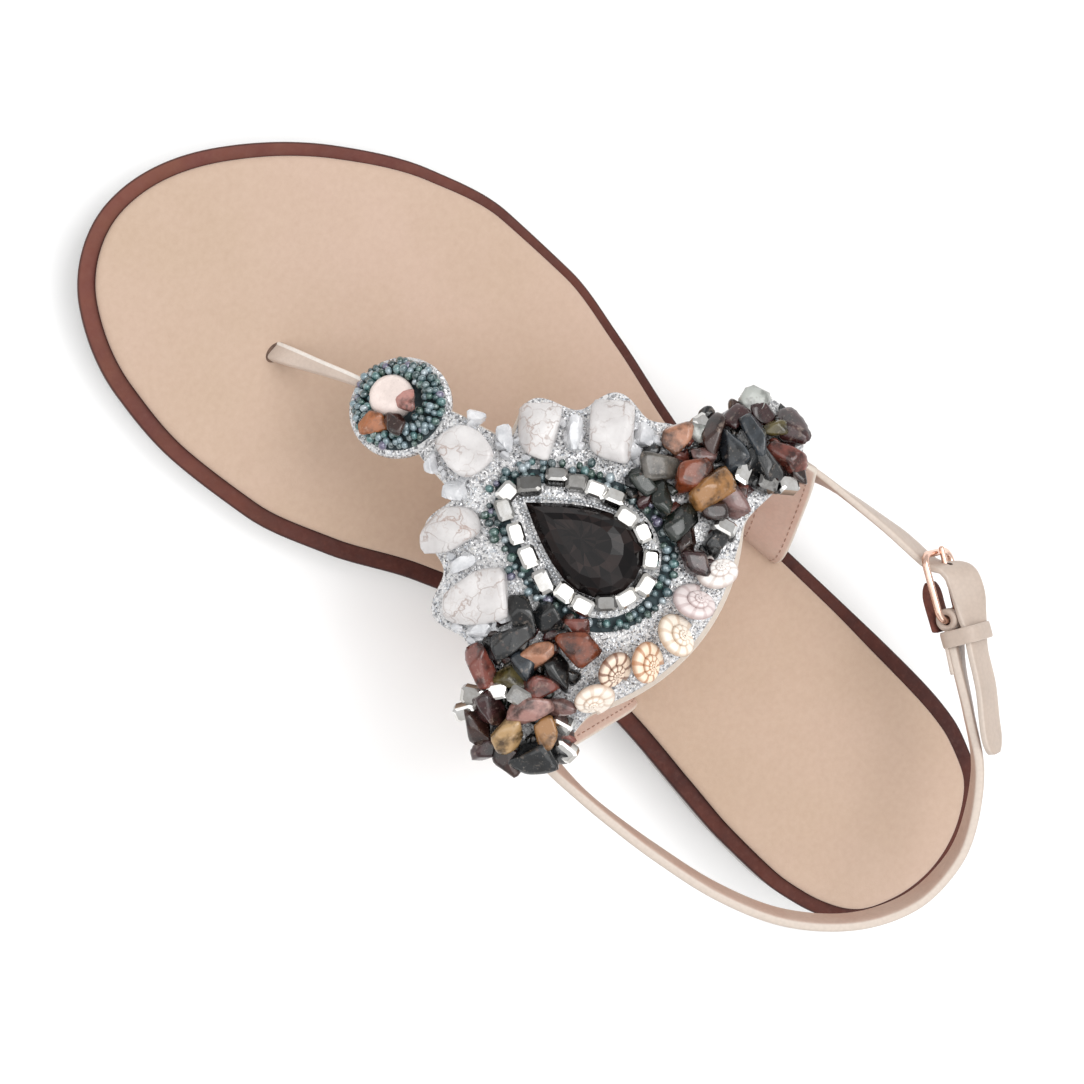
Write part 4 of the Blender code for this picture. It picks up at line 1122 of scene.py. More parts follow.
def sole_rings(levels):
    """Rings round the sole, one for each level.

    A level gives how far the outline is moved in, how far it is then drawn onto the middle line (1 stays,
    0 lies on it), the share of the footbed's height against the tread's, and a lift.
    """
    inset = np.stack([np.broadcast_to(level[0], OUTLINE_POINTS) for level in levels])
    spread, share, lift = np.array([level[1:4] for level in levels]).T[:, :, None]
    loop = OUTLINE - OUTLINE_NORMAL * inset[..., None]
    middle = (loop + loop[:, OPPOSITE]) / 2.0
    ring = middle + (loop - middle) * spread[..., None]
    station = ring[..., 0]
    height = share * eased(FOOTBED, station) + (1.0 - share) * eased(TREAD, station) + lift
    return np.concatenate([ring, height[..., None]], axis=-1)


def by_level(numbers):
    """One number for each level, given to every point of its ring."""
    return np.repeat(np.asarray(numbers, float), OUTLINE_POINTS)


def make_outsole():
    """Moulded unit: rings from the tread's middle over its rounded edge, up the wall and in over the top."""
    under = MIDSOLE_THICK + GAP
    levels = [
        (1.7 - FLARE, 0.0, 0.0, 0.0),
        (1.7 - FLARE, 0.5, 0.0, 0.0),
        (1.7 - FLARE, 1.0, 0.0, 0.0),
        (1.1 - FLARE, 1.0, 0.0, 0.12),
        (0.6 - FLARE, 1.0, 0.0, 0.42),
        (0.28 - FLARE, 1.0, 0.0, 0.85),
        (0.2 - FLARE, 1.0, 0.0, 1.3),
        (0.2 - 0.8 * FLARE, 1.0, 0.3, 0.6),
        (0.2 - 0.5 * FLARE, 1.0, 0.7, -1.6),
        (0.2 - 0.3 * FLARE, 1.0, 1.0, -under - 0.75),
        (0.32, 1.0, 1.0, -under - 0.3),
        (0.7, 1.0, 1.0, -under),
        (0.7, 0.5, 1.0, -under),
        (0.7, 0.0, 1.0, -under),
    ]
    tread = by_level([1.0, 1.0, 1.0, 0.6] + [0.0] * (len(levels) - 4))
    quads = loop_quads(len(levels), OUTLINE_POINTS)
    piece("sole_unit", sole_rings(levels), quads, RUBBER, ("outsole",), {"tread": tread})


def make_midsole():
    """Board with rounded edges: rings from its underside round its edge and over the top under the sock."""
    fractions = (0.2, 0.35, 0.55, 0.75, 0.9, 1.05)
    levels = [
        (0.5, 0.0, 1.0, -MIDSOLE_THICK),
        (0.5, 1.0, 1.0, -MIDSOLE_THICK),
        (0.15, 1.0, 1.0, 0.15 - MIDSOLE_THICK),
        (0.0, 1.0, 1.0, 0.5 - MIDSOLE_THICK),
        (0.0, 1.0, 1.0, -0.7),
        (0.05, 1.0, 1.0, -0.4),
        (0.18, 1.0, 1.0, -0.16),
        (0.42, 1.0, 1.0, -0.03),
    ]
    levels += [(RIM * share, 1.0, 1.0, 0.0) for share in fractions]
    levels += [(RIM + BOARD_UNDER_SOCK, spread, 1.0, 0.0) for spread in (1.0, 0.0)]
    rim = by_level([0.0] * 7 + [0.1, *fractions, 1.0, 1.0])
    quads = loop_quads(len(levels), OUTLINE_POINTS)
    piece("rim_board", sole_rings(levels), quads, BOARD, ("midsole",), {"rim": rim})


def make_insole():
    """Sock on its board: rings from underneath round a rolled edge and over a low crown to the middle."""
    roll = ((0.35, GAP), (0.08, 0.55), (0.0, 0.95), (0.06, 1.35))
    roll += ((0.25, 1.7), (0.6, 1.98), (1.1, 2.17), (1.7, 2.27))
    spreads = np.array([0.94, 0.86, 0.76, 0.64, 0.5, 0.35, 0.18, 0.0])
    levels = [(RIM + roll[0][0], 0.0, 1.0, GAP)]
    levels += [(RIM + inset, 1.0, 1.0, lift) for inset, lift in roll]
    levels += [(RIM + roll[-1][0], spread, 1.0, roll[-1][1]) for spread in spreads]
    rings = sole_rings(levels)
    breadth = np.abs(np.sin(np.arange(OUTLINE_POINTS) * FULL_TURN / OUTLINE_POINTS))
    rings[-len(spreads) :, :, 2] += INSOLE_CROWN * np.outer(1.0 - spreads**2, breadth)
    # share of painted shade on the suede: full round the rolled edge, fading out over the top
    edge = by_level([1.0, 1.0, 1.0, 1.0, 0.8, 0.5, 0.25, 0.1, 0.0] + [0.0] * len(spreads))
    quads = loop_quads(len(levels), OUTLINE_POINTS)
    piece("suede_sock", rings, quads, SUEDE, ("insole",), {"edge": edge})


# Upper


def shield_height(station, across):
    """Top of the shield: it falls with the squares of the distances along and across from its crest."""
    fall = INSTEP_FALL * (station - INSTEP_STATION) ** 2
    return INSTEP_HEIGHT - fall - INSTEP_ARCH * (across - INSTEP_AXIS) ** 2


def shield_radius(angle):
    """Plan outline round the shield's centre: a scalloped circle cut by the back arc, with neck and wings."""
    wave = SCALLOP * np.interp(np.abs(np.degrees(angle)), SCALLOP_FADE, (1.0, 0.0))
    body = BODY_RADIUS + wave * np.cos(FULL_TURN * angle / SCALLOP_PERIOD)
    setback = BACK_ARC_STATION - SHIELD_STATION
    ahead = setback * np.cos(angle)
    back = ahead + np.sqrt(ahead**2 + BACK_ARC_RADIUS**2 - setback**2)
    radius = np.minimum(body, back)
    for centre, reach, spread in SHIELD_LOBES:
        off = np.remainder(np.degrees(angle) - centre + 180.0, 360.0) - 180.0
        radius = radius + reach * np.exp(-((off / spread) ** 4))
    return radius


def on_shield(station, across, lift=0.0):
    """Places on the shield raised along its normal, and the normals."""
    station, across, lift = np.broadcast_arrays(np.asarray(station, float), across, lift)
    slope_along = -2.0 * INSTEP_FALL * (station - INSTEP_STATION)
    slope_across = -2.0 * INSTEP_ARCH * (across - INSTEP_AXIS)
    normal = unit(np.stack([-slope_along, -slope_across, np.ones_like(slope_along)], axis=-1))
    place = np.stack([station, across, shield_height(station, across)], axis=-1)
    return place + normal * lift[..., None], normal


def seats(station, across, yaw, lift):
    """Seats on the shield: places, and three axes each (ahead turned by yaw in degrees, sideways, out)."""
    place, normal = on_shield(station, across, lift)
    turn = np.radians(np.broadcast_to(yaw, place.shape[:-1]))
    ahead = np.stack([np.cos(turn), np.sin(turn), np.zeros_like(turn)], axis=-1)
    ahead = unit(ahead - normal * np.sum(ahead * normal, axis=-1, keepdims=True))
    return place, np.stack([ahead, np.cross(normal, ahead), normal], axis=-2)


def one_seat(station, across, lift):
    """A single seat on the shield, its first axis towards the toe."""
    return seats(np.array([station]), np.array([across]), 0.0, lift)


def seated(shapes, seat):
    """Shapes in their own axes, one for each seat or one for all, put onto the seats."""
    place, axes = seat
    return place[:, None, :] + np.broadcast_to(shapes, (len(place), *np.shape(shapes)[-2:])) @ axes


def shield_shell(levels, margin=None):
    """A closed shell on the shield: rings round its centre by fraction of the outline, inset and lift."""
    angle = np.linspace(-math.pi, math.pi, SHIELD_ANGLES, endpoint=False)
    fraction, inset, lift = np.array(levels).T[:, :, None]
    edge = shield_radius(angle) - (margin(angle) if margin else 0.0)
    reach = fraction * (edge - inset)
    station = SHIELD_STATION + reach * np.cos(angle)
    across = reach * np.sin(angle)
    return on_shield(station, across, lift)[0]


def cloth_inset(angle):
    """Width of the leather left bare beside the cloth: widest at the back arc and one side of the neck."""
    return np.interp(np.degrees(angle), *np.array(FLANGE).T)


def make_shield():
    """Leather backing with a rounded edge and a lining underneath, and the glitter cloth inside its edge."""
    inner = [(share, 0.9, 0.0) for share in (0.0, 0.2, 0.4, 0.6, 0.8, 0.92)]
    rounded = ((0.9, 0.0), (0.45, -0.1), (0.12, -0.4), (0.0, -0.9), (0.0, -1.7), (0.12, -2.2), (0.45, -2.5))
    edge = [(1.0, inset, lift) for inset, lift in (*rounded, (0.9, -SHIELD_WALL))]
    under = [(share, 0.9, -SHIELD_WALL) for share in (0.92, 0.7, 0.4, 0.0)]
    levels = inner + edge + under
    lined = [0.0] * (len(inner) + 6) + [1.0] * (len(under) + 2)
    rim = [0.0] * len(inner) + [0.5, 0.9, 1.0, 1.0, 1.0, 1.0, 0.9, 0.0] + [0.0] * len(under)
    values = {"lining": np.repeat(lined, SHIELD_ANGLES), "edge": np.repeat(rim, SHIELD_ANGLES)}
    quads = loop_quads(len(levels), SHIELD_ANGLES)
    piece("shield_backing", shield_shell(levels), quads, UPPER_LEATHER, ("upper",), values)
    shares = (0.0, 0.15, 0.3, 0.45, 0.6, 0.75, 0.9)
    cloth = [(share, 0.0, -0.4) for share in shares]
    cloth += [(1.0, 0.0, -0.4), (1.0, 0.0, 0.1), (1.0, 0.15, 0.3), (1.0, 0.4, CLOTH_THICK)]
    cloth += [(share, 0.4, CLOTH_THICK) for share in reversed(shares)]
    quads = loop_quads(len(cloth), SHIELD_ANGLES)
    piece("glitter_cloth", shield_shell(cloth, cloth_inset), quads, GLITTER, ("upper",))


def turned(profile, sides):
    """A profile of radius and height turned round its axis: places in their own axes, and their quads."""
    radius, height = np.array(profile, float).T[:, :, None]
    turn = np.linspace(0.0, FULL_TURN, sides, endpoint=False)
    level = np.broadcast_to(height, (len(profile), sides))
    points = np.stack([radius * np.cos(turn), radius * np.sin(turn), level], axis=-1)
    return points.reshape(-1, 3), loop_quads(len(profile), sides)


def make_medallion_pad():
    """Round pad at the front of the shield: a turned leather disc, a glitter disc on it and a dark bed that
    paints the shade between its beads.
    """
    seat = one_seat(MEDALLION_STATION, MEDALLION_ACROSS, 0.0)
    disc = ((0.0, -2.9), (10.5, -2.9), (11.2, -2.6), (11.5, -2.0))
    disc += ((11.5, -0.6), (11.3, 0.0), (10.8, 0.3), (0.0, 0.3))
    points, quads = turned(disc, PAD_SIDES)
    side = [0.0, 0.0, 0.9, 1.0, 1.0, 1.0, 0.5, 0.0]
    lined = [1.0, 1.0, 1.0, 0.0, 0.0, 0.0, 0.0, 0.0]
    values = {"edge": np.repeat(side, PAD_SIDES), "lining": np.repeat(lined, PAD_SIDES)}
    piece("medallion_pad", seated(points, seat), quads, UPPER_LEATHER, ("upper",), values)
    sparkle = ((0.0, 0.0), (11.4, 0.0), (11.55, -1.3), (11.75, -1.3))
    sparkle += ((11.75, 0.1), (11.5, 0.5), (11.1, 0.65), (0.0, 0.65))
    points, quads = turned(sparkle, PAD_SIDES)
    piece("medallion_cloth", seated(points, seat), quads, GLITTER, ("upper",))
    # the bed's dark colour is painted shade between the medallion's beads
    bed = ((0.0, 0.5), (10.3, 0.5), (10.5, 0.75), (10.3, 1.0), (0.0, 1.0))
    points, quads = turned(bed, PAD_SIDES)
    piece("medallion_bead_bed", seated(points, seat), quads, BEAD_GAP_SHADE)


def carried(path, width_axis, width, thickness, sides=40, squareness=0.5):
    """A flat strap: an oval section carried along a path, its width held to an axis, its ends closed.

    With the points come their quads, their place across and through the strap, and the axes along the path.
    """
    path = np.asarray(path, float)
    tangent = unit(np.gradient(path, axis=0))
    broad = np.broadcast_to(width_axis, path.shape)
    broad = unit(broad - tangent * np.sum(broad * tangent, axis=1, keepdims=True))
    thick = np.cross(tangent, broad)
    turn = np.linspace(0.0, FULL_TURN, sides, endpoint=False) + math.pi / sides
    oval = oval_section(turn, squareness)
    a = oval[0] * np.reshape(np.broadcast_to(width, len(path)), (-1, 1)) / 2.0
    b = oval[1] * np.reshape(np.broadcast_to(thickness, len(path)), (-1, 1)) / 2.0
    points = path[:, None] + a[..., None] * broad[:, None] + b[..., None] * thick[:, None]
    first = np.repeat(path[:1, None], sides, axis=1)
    last = np.repeat(path[-1:, None], sides, axis=1)
    points = np.concatenate([first, points, last])
    rows = len(path) + 2
    across = np.tile(np.abs(oval[0]), rows)
    through_wall = np.tile(oval[1], rows)
    return points, loop_quads(rows, sides), across, through_wall, (tangent, broad, thick)


def standing_rows(table):
    """Rows of a strap on edge: its place and its width axis, upright but for the lean in the last column."""
    table = np.array(table, float)
    path = table[:, :3]
    lean = np.radians(table[:, 3:4])
    outward = unit(np.cross(np.gradient(path, axis=0), UP))
    return np.hstack([path, np.cos(lean) * UP + np.sin(lean) * outward])


def strap(name, path, axis, width, thickness, material, slot, nodes, flip=False):
    """A strap with its lining on one face and painted edges. Returns its axes."""
    points, quads, across, through_wall, axes = carried(path, axis, width, thickness)
    inside = through_wall > 0.0 if flip else through_wall < 0.0
    values = {"edge": across, "lining": inside.astype(float)}
    piece(name, points, quads, material, nodes, values)
    return axes


def ball(columns, rows):
    """Directions over a ball, from pole to pole by equal angles, and their quads."""
    polar = np.linspace(0.0, math.pi, rows)[:, None]
    turn = np.linspace(0.0, FULL_TURN, columns, endpoint=False)[None, :]
    parts = (np.sin(polar) * np.cos(turn), np.sin(polar) * np.sin(turn), np.cos(polar) * np.ones_like(turn))
    return np.stack(parts, axis=-1).reshape(-1, 3), loop_quads(rows, columns)


def stitch_places(path, axes, across, through_wall, pitch, start=2.0):
    """Seats of a row of stitches: equal steps along a path moved across and through the strap."""
    _, broad, thick = axes
    line = path + broad * across + thick * through_wall
    run = arc_length(line)
    at = np.arange(start, run[-1] - start, pitch)
    frames = np.stack([unit(sampled(at, run, axis)) for axis in axes], axis=-2)
    return sampled(at, run, line), frames


def sewn(name, rows, length, material):
    """Stitches as slim balls stretched along their row, joined into one piece."""
    place = np.concatenate([row[0] for row in rows])
    frames = np.concatenate([row[1] for row in rows])
    grain, quads = ball(columns=8, rows=6)
    points = seated(grain * (length / 2.0, STITCH_WIDTH / 2.0, STITCH_RISE), (place, frames))
    piece(name, points, repeated(quads, len(place), len(grain)), material)


def make_post():
    """Toe post: a strip that widens from the medallion to the shaded slit, with a raised edge lit by a
    painted highlight.
    """
    path = through(POST_PATH, PATH_STEPS)
    width = eased(POST_WIDTHS, np.linspace(0.0, 1.0, len(path)))
    strip = carried(path, ACROSS, width, POST_THICK)
    _, broad, thick = strip[-1]
    ridge = path - broad * (width[:, None] / 2.0 - POST_EDGE_INSET) + thick * POST_EDGE_INSET
    edging = carried(ridge, ACROSS, POST_EDGE_WIDTH, POST_EDGE_THICK, sides=16, squareness=1.0)
    # the raised edge takes the leather's full edge colour: a painted highlight along the post's upper side
    for name, section, bright in (("toe_post", strip, 0.0), ("post_edge", edging, 1.0)):
        points, quads, across, *_ = section
        values = {"edge": np.full(len(across), bright), "lining": np.zeros(len(across))}
        piece(name, points, quads, POST_LEATHER, ("upper",), values)
    station, across = POST_SLIT
    top = eased(FOOTBED, station) + SOCK_TOP
    points, quads = turned(((0.0, -1.2), (1.0, -1.2), (1.0, -0.06), (0.96, 0.0), (0.0, 0.0)), sides=40)
    seat = (np.array([[station, across, top]]), np.eye(3)[None])
    piece("post_slit", seated(points * SLIT_HALF_SIZE, seat), quads, SLIT)


def make_side_straps():
    """Both side straps from the sole up under the wings, lining towards the foot, sewn along both edges."""
    rows = []
    size = (SIDE_STRAP_WIDTH, SIDE_STRAP_THICK)
    reach = SIDE_STRAP_WIDTH / 2.0 - SIDE_STITCH_MARGIN
    face = SIDE_STRAP_THICK / 2.0 - STITCH_SUNK
    sides = (("inner_side_strap", INNER_PATH, False), ("outer_side_strap", OUTER_PATH, True))
    for name, table, flip in sides:
        path = through(table, PATH_STEPS)
        axes = strap(name, path, ALONG, *size, UPPER_LEATHER, "beige_leather", ("upper",), flip)
        for across in (-reach, reach):
            rows += [stitch_places(path, axes, across, out, SIDE_STITCH_PITCH) for out in (-face, face)]
    sewn("side_strap_stitches", rows, SIDE_STITCH_LENGTH, BROWN_THREAD)


# Straps and buckle

FORWARD = unit([0.8, -0.58, -0.16])
OUTWARD = unit(np.cross(FORWARD, UP))
FRAME_UP = math.cos(FRAME_LEAN) * np.cross(OUTWARD, FORWARD) + math.sin(FRAME_LEAN) * OUTWARD
FACE_OUT = np.cross(FORWARD, FRAME_UP)


def round_ended(path, width, start, end):
    """Widths along a strap, drawn in towards its ends as a circle is over the two given lengths."""
    run = arc_length(path)
    closing = np.clip(1.0 - run / start, 0.0, 1.0) + np.clip(1.0 - (run[-1] - run) / end, 0.0, 1.0)
    return width * np.sqrt(1.0 - END_NARROWING * closing**2)


def leather_strap(name, path, axis, width, thickness, node):
    """A strap of the heel or the front with its lining towards the foot. Returns its axes."""
    return strap(name, path, axis, width, thickness, STRAP_LEATHER, "strap_leather", (node,))


def make_heel_strap():
    """Strap round the heel: its end folded back inside and sewn, split in two rolls round the pivot bar."""
    rows = through(standing_rows(HEEL_STRAP), PATH_STEPS)
    away = np.linalg.norm(rows[:, :3] - PIVOT, axis=1)
    clear = away > PIVOT_CLEAR
    path, axis = np.split(rows[clear], 2, axis=1)
    width = round_ended(path, STRAP_WIDTH, HIDDEN_ROUNDING, 0.01)
    axes = leather_strap("heel_strap_band", path, axis, width, HEEL_STRAP_THICK, "heel_strap")
    fold = away[clear] < FOLD_REACH
    inside = path[fold] - axes[2][fold] * (HEEL_STRAP_THICK / 2.0)
    size = (STRAP_WIDTH - FOLD_INSET, FOLD_THICK)
    folded = leather_strap("strap_fold", inside, axis[fold], *size, "heel_strap")
    seam = (FOLD_STITCH_DEPTH, FOLD_STITCH_PITCH, 1.0)
    runs = [stitch_places(inside, folded, side * FOLD_STITCH_ACROSS, *seam) for side in (-1.0, 1.0)]
    sewn("heel_strap_stitches", runs, FOLD_STITCH_LENGTH, BEIGE_THREAD)
    half = STRAP_WIDTH / 2.0 - ROLL_INSET
    slot = PRONG_ROOM
    bore, rounded, outer = ROLL_RADII
    wall = ((bore, slot), (rounded, slot), (outer, slot + ROLL_CORNER), (outer, half - ROLL_CORNER))
    wall += ((rounded, half), (bore, half), (bore, slot))
    points, quads = turned(wall, sides=40)
    frames = np.stack([np.stack([FORWARD, FACE_OUT, FRAME_UP]), np.stack([FORWARD, -FACE_OUT, -FRAME_UP])])
    rolls = seated(points, (np.stack([PIVOT, PIVOT]), frames))
    values = {"edge": np.zeros(2 * len(points)), "lining": np.zeros(2 * len(points))}
    quads = repeated(quads, 2, len(points))
    piece("strap_rolls", rolls, quads, STRAP_LEATHER, ("heel_strap",), values)
    reach_back = np.linspace(0.0, 1.0, 8)[:, None]
    for name, side in (("upper_tongue", 1.0), ("lower_tongue", -1.0)):
        offset = FRAME_UP * side * (slot + half) / 2.0 - FORWARD * TONGUE_BACK
        ends = path[-1] + reach_back * (PIVOT - FORWARD * TONGUE_SHORT - path[-1]) + offset
        leather_strap(name, ends, FRAME_UP, half - slot, HEEL_STRAP_THICK - TONGUE_THINNER, "heel_strap")


def buckle_rows(table):
    """Rows of a strap in the buckle: its place, and its width axis rolled from the frame's upright."""
    ahead, out, roll = np.array(table).T[:, :, None]
    rolled = np.cos(np.radians(roll)) * FRAME_UP - np.sin(np.radians(roll)) * FACE_OUT
    return np.hstack([PIVOT + FORWARD * ahead + FACE_OUT * out, rolled])


def make_front_strap():
    """Strap from the outer wing through the buckle, its tail drawn in to a round tip, its holes filled with
    painted shade, and the lining behind the buckle, its brown darkened by painted shade.
    """
    rows = np.vstack([standing_rows(STRAP_TAIL), buckle_rows(STRAP_RUN), standing_rows(STRAP_TO_WING)])
    path, axis = np.split(through(rows, PATH_STEPS), 2, axis=1)
    width = round_ended(path, STRAP_WIDTH, TAIL_ROUNDING, HIDDEN_ROUNDING)
    axes = leather_strap("front_strap_band", path, axis, width, FRONT_STRAP_THICK, "front_strap")
    place, frames = stitch_places(path, axes, 0.0, 0.0, HOLE_PITCH, HOLE_START)
    first, last = HOLE_STATIONS
    punched = (place[:, 0] > first) & (place[:, 0] < last)
    # each hole is a dark plug of painted shade
    rim = ((0.0, -1.03), (0.6, -1.03), (0.66, -1.0), (0.66, 1.0), (0.6, 1.03), (0.0, 1.03))
    points, quads = turned(rim, sides=16)
    holes = seated(points, (place[punched], frames[punched]))
    piece("strap_holes", holes, repeated(quads, len(holes), len(points)), HOLE_SHADE)
    path, axis = np.split(through(buckle_rows(BUCKLE_LINING), steps=10), 2, axis=1)
    width = round_ended(path, LINING_WIDTH, start=0.5, end=4.0)
    # the lining's dark brown is partly painted shade
    strap("buckle_lining", path, axis, width, LINING_THICK, SHADED_LINING, "strap_leather", ("heel_strap",))


def rounded_loop(length, height, corner, steps):
    """A rectangle with round corners as a closed loop: quarter circles set at its four corners."""
    turn = np.linspace(0.0, math.pi / 2.0, steps)
    start = np.arange(4)[:, None] * math.pi / 2.0
    right = np.array([1.0, -1.0, -1.0, 1.0])[:, None] * (length / 2.0 - corner)
    top = np.array([1.0, 1.0, -1.0, -1.0])[:, None] * (height / 2.0 - corner)
    loop = np.stack([right + corner * np.cos(start + turn), top + corner * np.sin(start + turn)], axis=-1)
    return loop.reshape(-1, 2)


def ring_along(loop, wide, thick, sides, squareness):
    """An oval section carried round a flat loop: width along the loop's axis, thickness in its plane."""
    tangent = loop_tangent(loop)
    outward = np.column_stack([tangent[:, 1], -tangent[:, 0]])
    turn = np.linspace(0.0, FULL_TURN, sides, endpoint=False)
    oval = oval_section(turn, squareness)
    flat = loop[:, None] + outward[:, None] * (oval[0] * thick / 2.0)[None, :, None]
    depth = np.broadcast_to(oval[1] * wide / 2.0, flat.shape[:2])
    points = np.concatenate([flat, depth[..., None]], axis=-1)
    return points.reshape(-1, 3), loop_quads(len(loop), sides, ring=True), np.tile(oval, len(loop))


def make_frame():
    """Buckle frame: round wire bent into a rectangle with round corners."""
    loop = rounded_loop(FRAME_LENGTH, FRAME_HEIGHT, FRAME_CORNER, steps=14)
    wire = 2.0 * WIRE_RADIUS
    points, quads, _ = ring_along(loop, wire, wire, sides=20, squareness=1.0)
    centre = PIVOT + FORWARD * FRAME_LENGTH / 2.0
    seat = (centre[None], np.stack([FORWARD, FRAME_UP, FACE_OUT])[None])
    piece("buckle_wire", seated(points, seat), quads, ROSE_GOLD, ("buckle_frame",))


def make_prong():
    """Prong: a collar on the pivot bar and a slim rod that tapers to its rounded tip on the front bar."""
    collar = ((1.2, -1.1), (1.8, -1.1), (2.0, -0.9), (2.0, 0.9), (1.8, 1.1), (1.2, 1.1), (1.2, -1.1))
    points, quads = turned(collar, sides=36)
    seat = (PIVOT[None], np.stack([FORWARD, FACE_OUT, FRAME_UP])[None])
    piece("prong_collar", seated(points, seat), quads, ROSE_GOLD, ("buckle_prong",))
    start = PIVOT + FACE_OUT * PRONG_ROOT_OUT + FORWARD * PRONG_ROOT_AHEAD
    rest = WIRE_RADIUS + PRONG_RADIUS + PRONG_REST
    end = PIVOT + FORWARD * (FRAME_LENGTH + PRONG_OVERHANG) + FACE_OUT * rest
    share = np.concatenate([np.linspace(0.0, 0.96, 12), np.array([0.975, 0.99, 0.997, 1.0])])
    size = np.concatenate([np.linspace(1.0, 0.86, 12), np.array([0.8, 0.62, 0.36, 0.1])]) * 2.0 * PRONG_RADIUS
    path = start + (end - start) * share[:, None]
    points, quads, *_ = carried(path, FRAME_UP, size, size, sides=20, squareness=1.0)
    piece("prong_rod", points, quads, ROSE_GOLD, ("buckle_prong",))


def make_keeper():
    """Keeper: a flat band carried round a rectangle with round corners, round the heel strap and the tail."""
    wide, high = KEEPER_ROOM
    loop = rounded_loop(wide + KEEPER_WALL, high + KEEPER_WALL, KEEPER_CORNER, steps=10)
    points, quads, oval = ring_along(loop, KEEPER_LENGTH, KEEPER_WALL, sides=28, squareness=0.45)
    centre = PIVOT - FORWARD * KEEPER_BACK + FACE_OUT * KEEPER_OUT
    seat = (centre[None], np.stack([FACE_OUT, FRAME_UP, FORWARD])[None])
    values = {"edge": np.abs(oval[1]), "lining": (oval[0] < 0.0).astype(float)}
    points = seated(points, seat)
    piece("keeper_band", points, quads, STRAP_LEATHER, ("keeper_loop",), values)


# Stones


def drop_outline(count, outset=0.0):
    """Teardrop round its centre: a cosine along, a narrowing sine across, moved out and turned."""
    turn = np.linspace(0.0, FULL_TURN, count, endpoint=False)
    narrow = np.sin(turn / 2.0) ** DROP_FULLNESS
    across = np.sin(turn) * narrow
    loop = np.column_stack([DROP_LENGTH * np.cos(turn), DROP_WIDTH * across / np.max(across)]) / 2.0
    tangent = loop_tangent(loop)
    loop = loop + outset * np.column_stack([tangent[:, 1], -tangent[:, 0]])
    cosine, sine = math.cos(DROP_YAW), math.sin(DROP_YAW)
    return loop @ np.array([(cosine, sine), (-sine, cosine)])


def strung(count, outset):
    """Places round the crystal at equal steps of arc length, with the direction of the string in degrees."""
    loop = drop_outline(720, outset)
    closed = np.vstack([loop, loop[:1]])
    run = arc_length(closed)
    at = np.linspace(0.0, run[-1], count, endpoint=False)
    ahead = np.roll(loop, -1, axis=0) - np.roll(loop, 1, axis=0)
    ahead = np.vstack([ahead, ahead[:1]])
    place = sampled(at, run, closed)
    course = sampled(at, run, ahead)
    yaw = np.degrees(np.arctan2(course[:, 1], course[:, 0]))
    return DROP_STATION + place[:, 0], DROP_ACROSS + place[:, 1], yaw


def make_drop():
    """Faceted crystal: teardrop rings, every second one turned half a step, each facet with its own painted
    inner reflection.
    """
    levels = ((0.0, 0.0, 0.0), (0.92, 0.0, 0.0), (1.0, 1.3, 0.0), (0.86, 3.3, 0.5), (0.68, 4.6, 0.0))
    levels += ((0.5, 5.0, 0.5), (0.24, 5.0, 0.0), (0.0, 5.0, 0.0))
    loop = drop_outline(DROP_SIDES)
    half_on = (loop + np.roll(loop, -1, axis=0)) / 2.0
    scale, height, shift = np.array(levels).T[:, :, None, None]
    rings = scale * np.where(shift > 0.0, half_on, loop)
    points = np.concatenate([rings, np.broadcast_to(height, (*rings.shape[:2], 1))], axis=-1)
    rng = np.random.default_rng(seed=4)
    seat = one_seat(DROP_STATION, DROP_ACROSS, GAP)
    made = piece(
        "smoky_drop",
        seated(points.reshape(-1, 3), seat),
        loop_quads(len(levels), DROP_SIDES),
        SMOKY,
        ("teardrop_crystal",),
        flat=True,
    )
    work = bmesh.new()
    work.from_mesh(made.data)
    bmesh.ops.triangulate(work, faces=work.faces)
    work.to_mesh(made.data)
    work.free()
    made.data.shade_flat()
    # how much painted inner reflection each facet shows, read by the smoky finish
    depth = rng.beta(0.7, 1.6, len(made.data.polygons)).astype(np.float32)
    made.data.attributes.new("facet", "FLOAT", "FACE").data.foreach_set("value", depth)


def chamfered_block(sizes, chamfer=0.28):
    """Blocks with cut edges: eight-sided rings from the foot's middle over the sides to the top's middle."""
    c = chamfer
    half = np.array([(1.0, 1.0 - c), (1.0 - c, 1.0), (c - 1.0, 1.0), (-1.0, 1.0 - c)])
    ring = np.vstack([half, -half])
    scale = np.array([0.0, 1.0 - c, 1.0, 1.0, 1.0 - c, 0.0])[:, None, None]
    height = np.array([0.0, 0.0, c, 2.0 - c, 2.0, 2.0])[:, None, None]
    flat = scale * ring[None]
    shape = np.concatenate([flat, np.broadcast_to(height, (*flat.shape[:2], 1))], axis=-1).reshape(-1, 3)
    return shape[None] * np.asarray(sizes, float)[:, None, :] / 2.0, loop_quads(len(scale), len(ring))


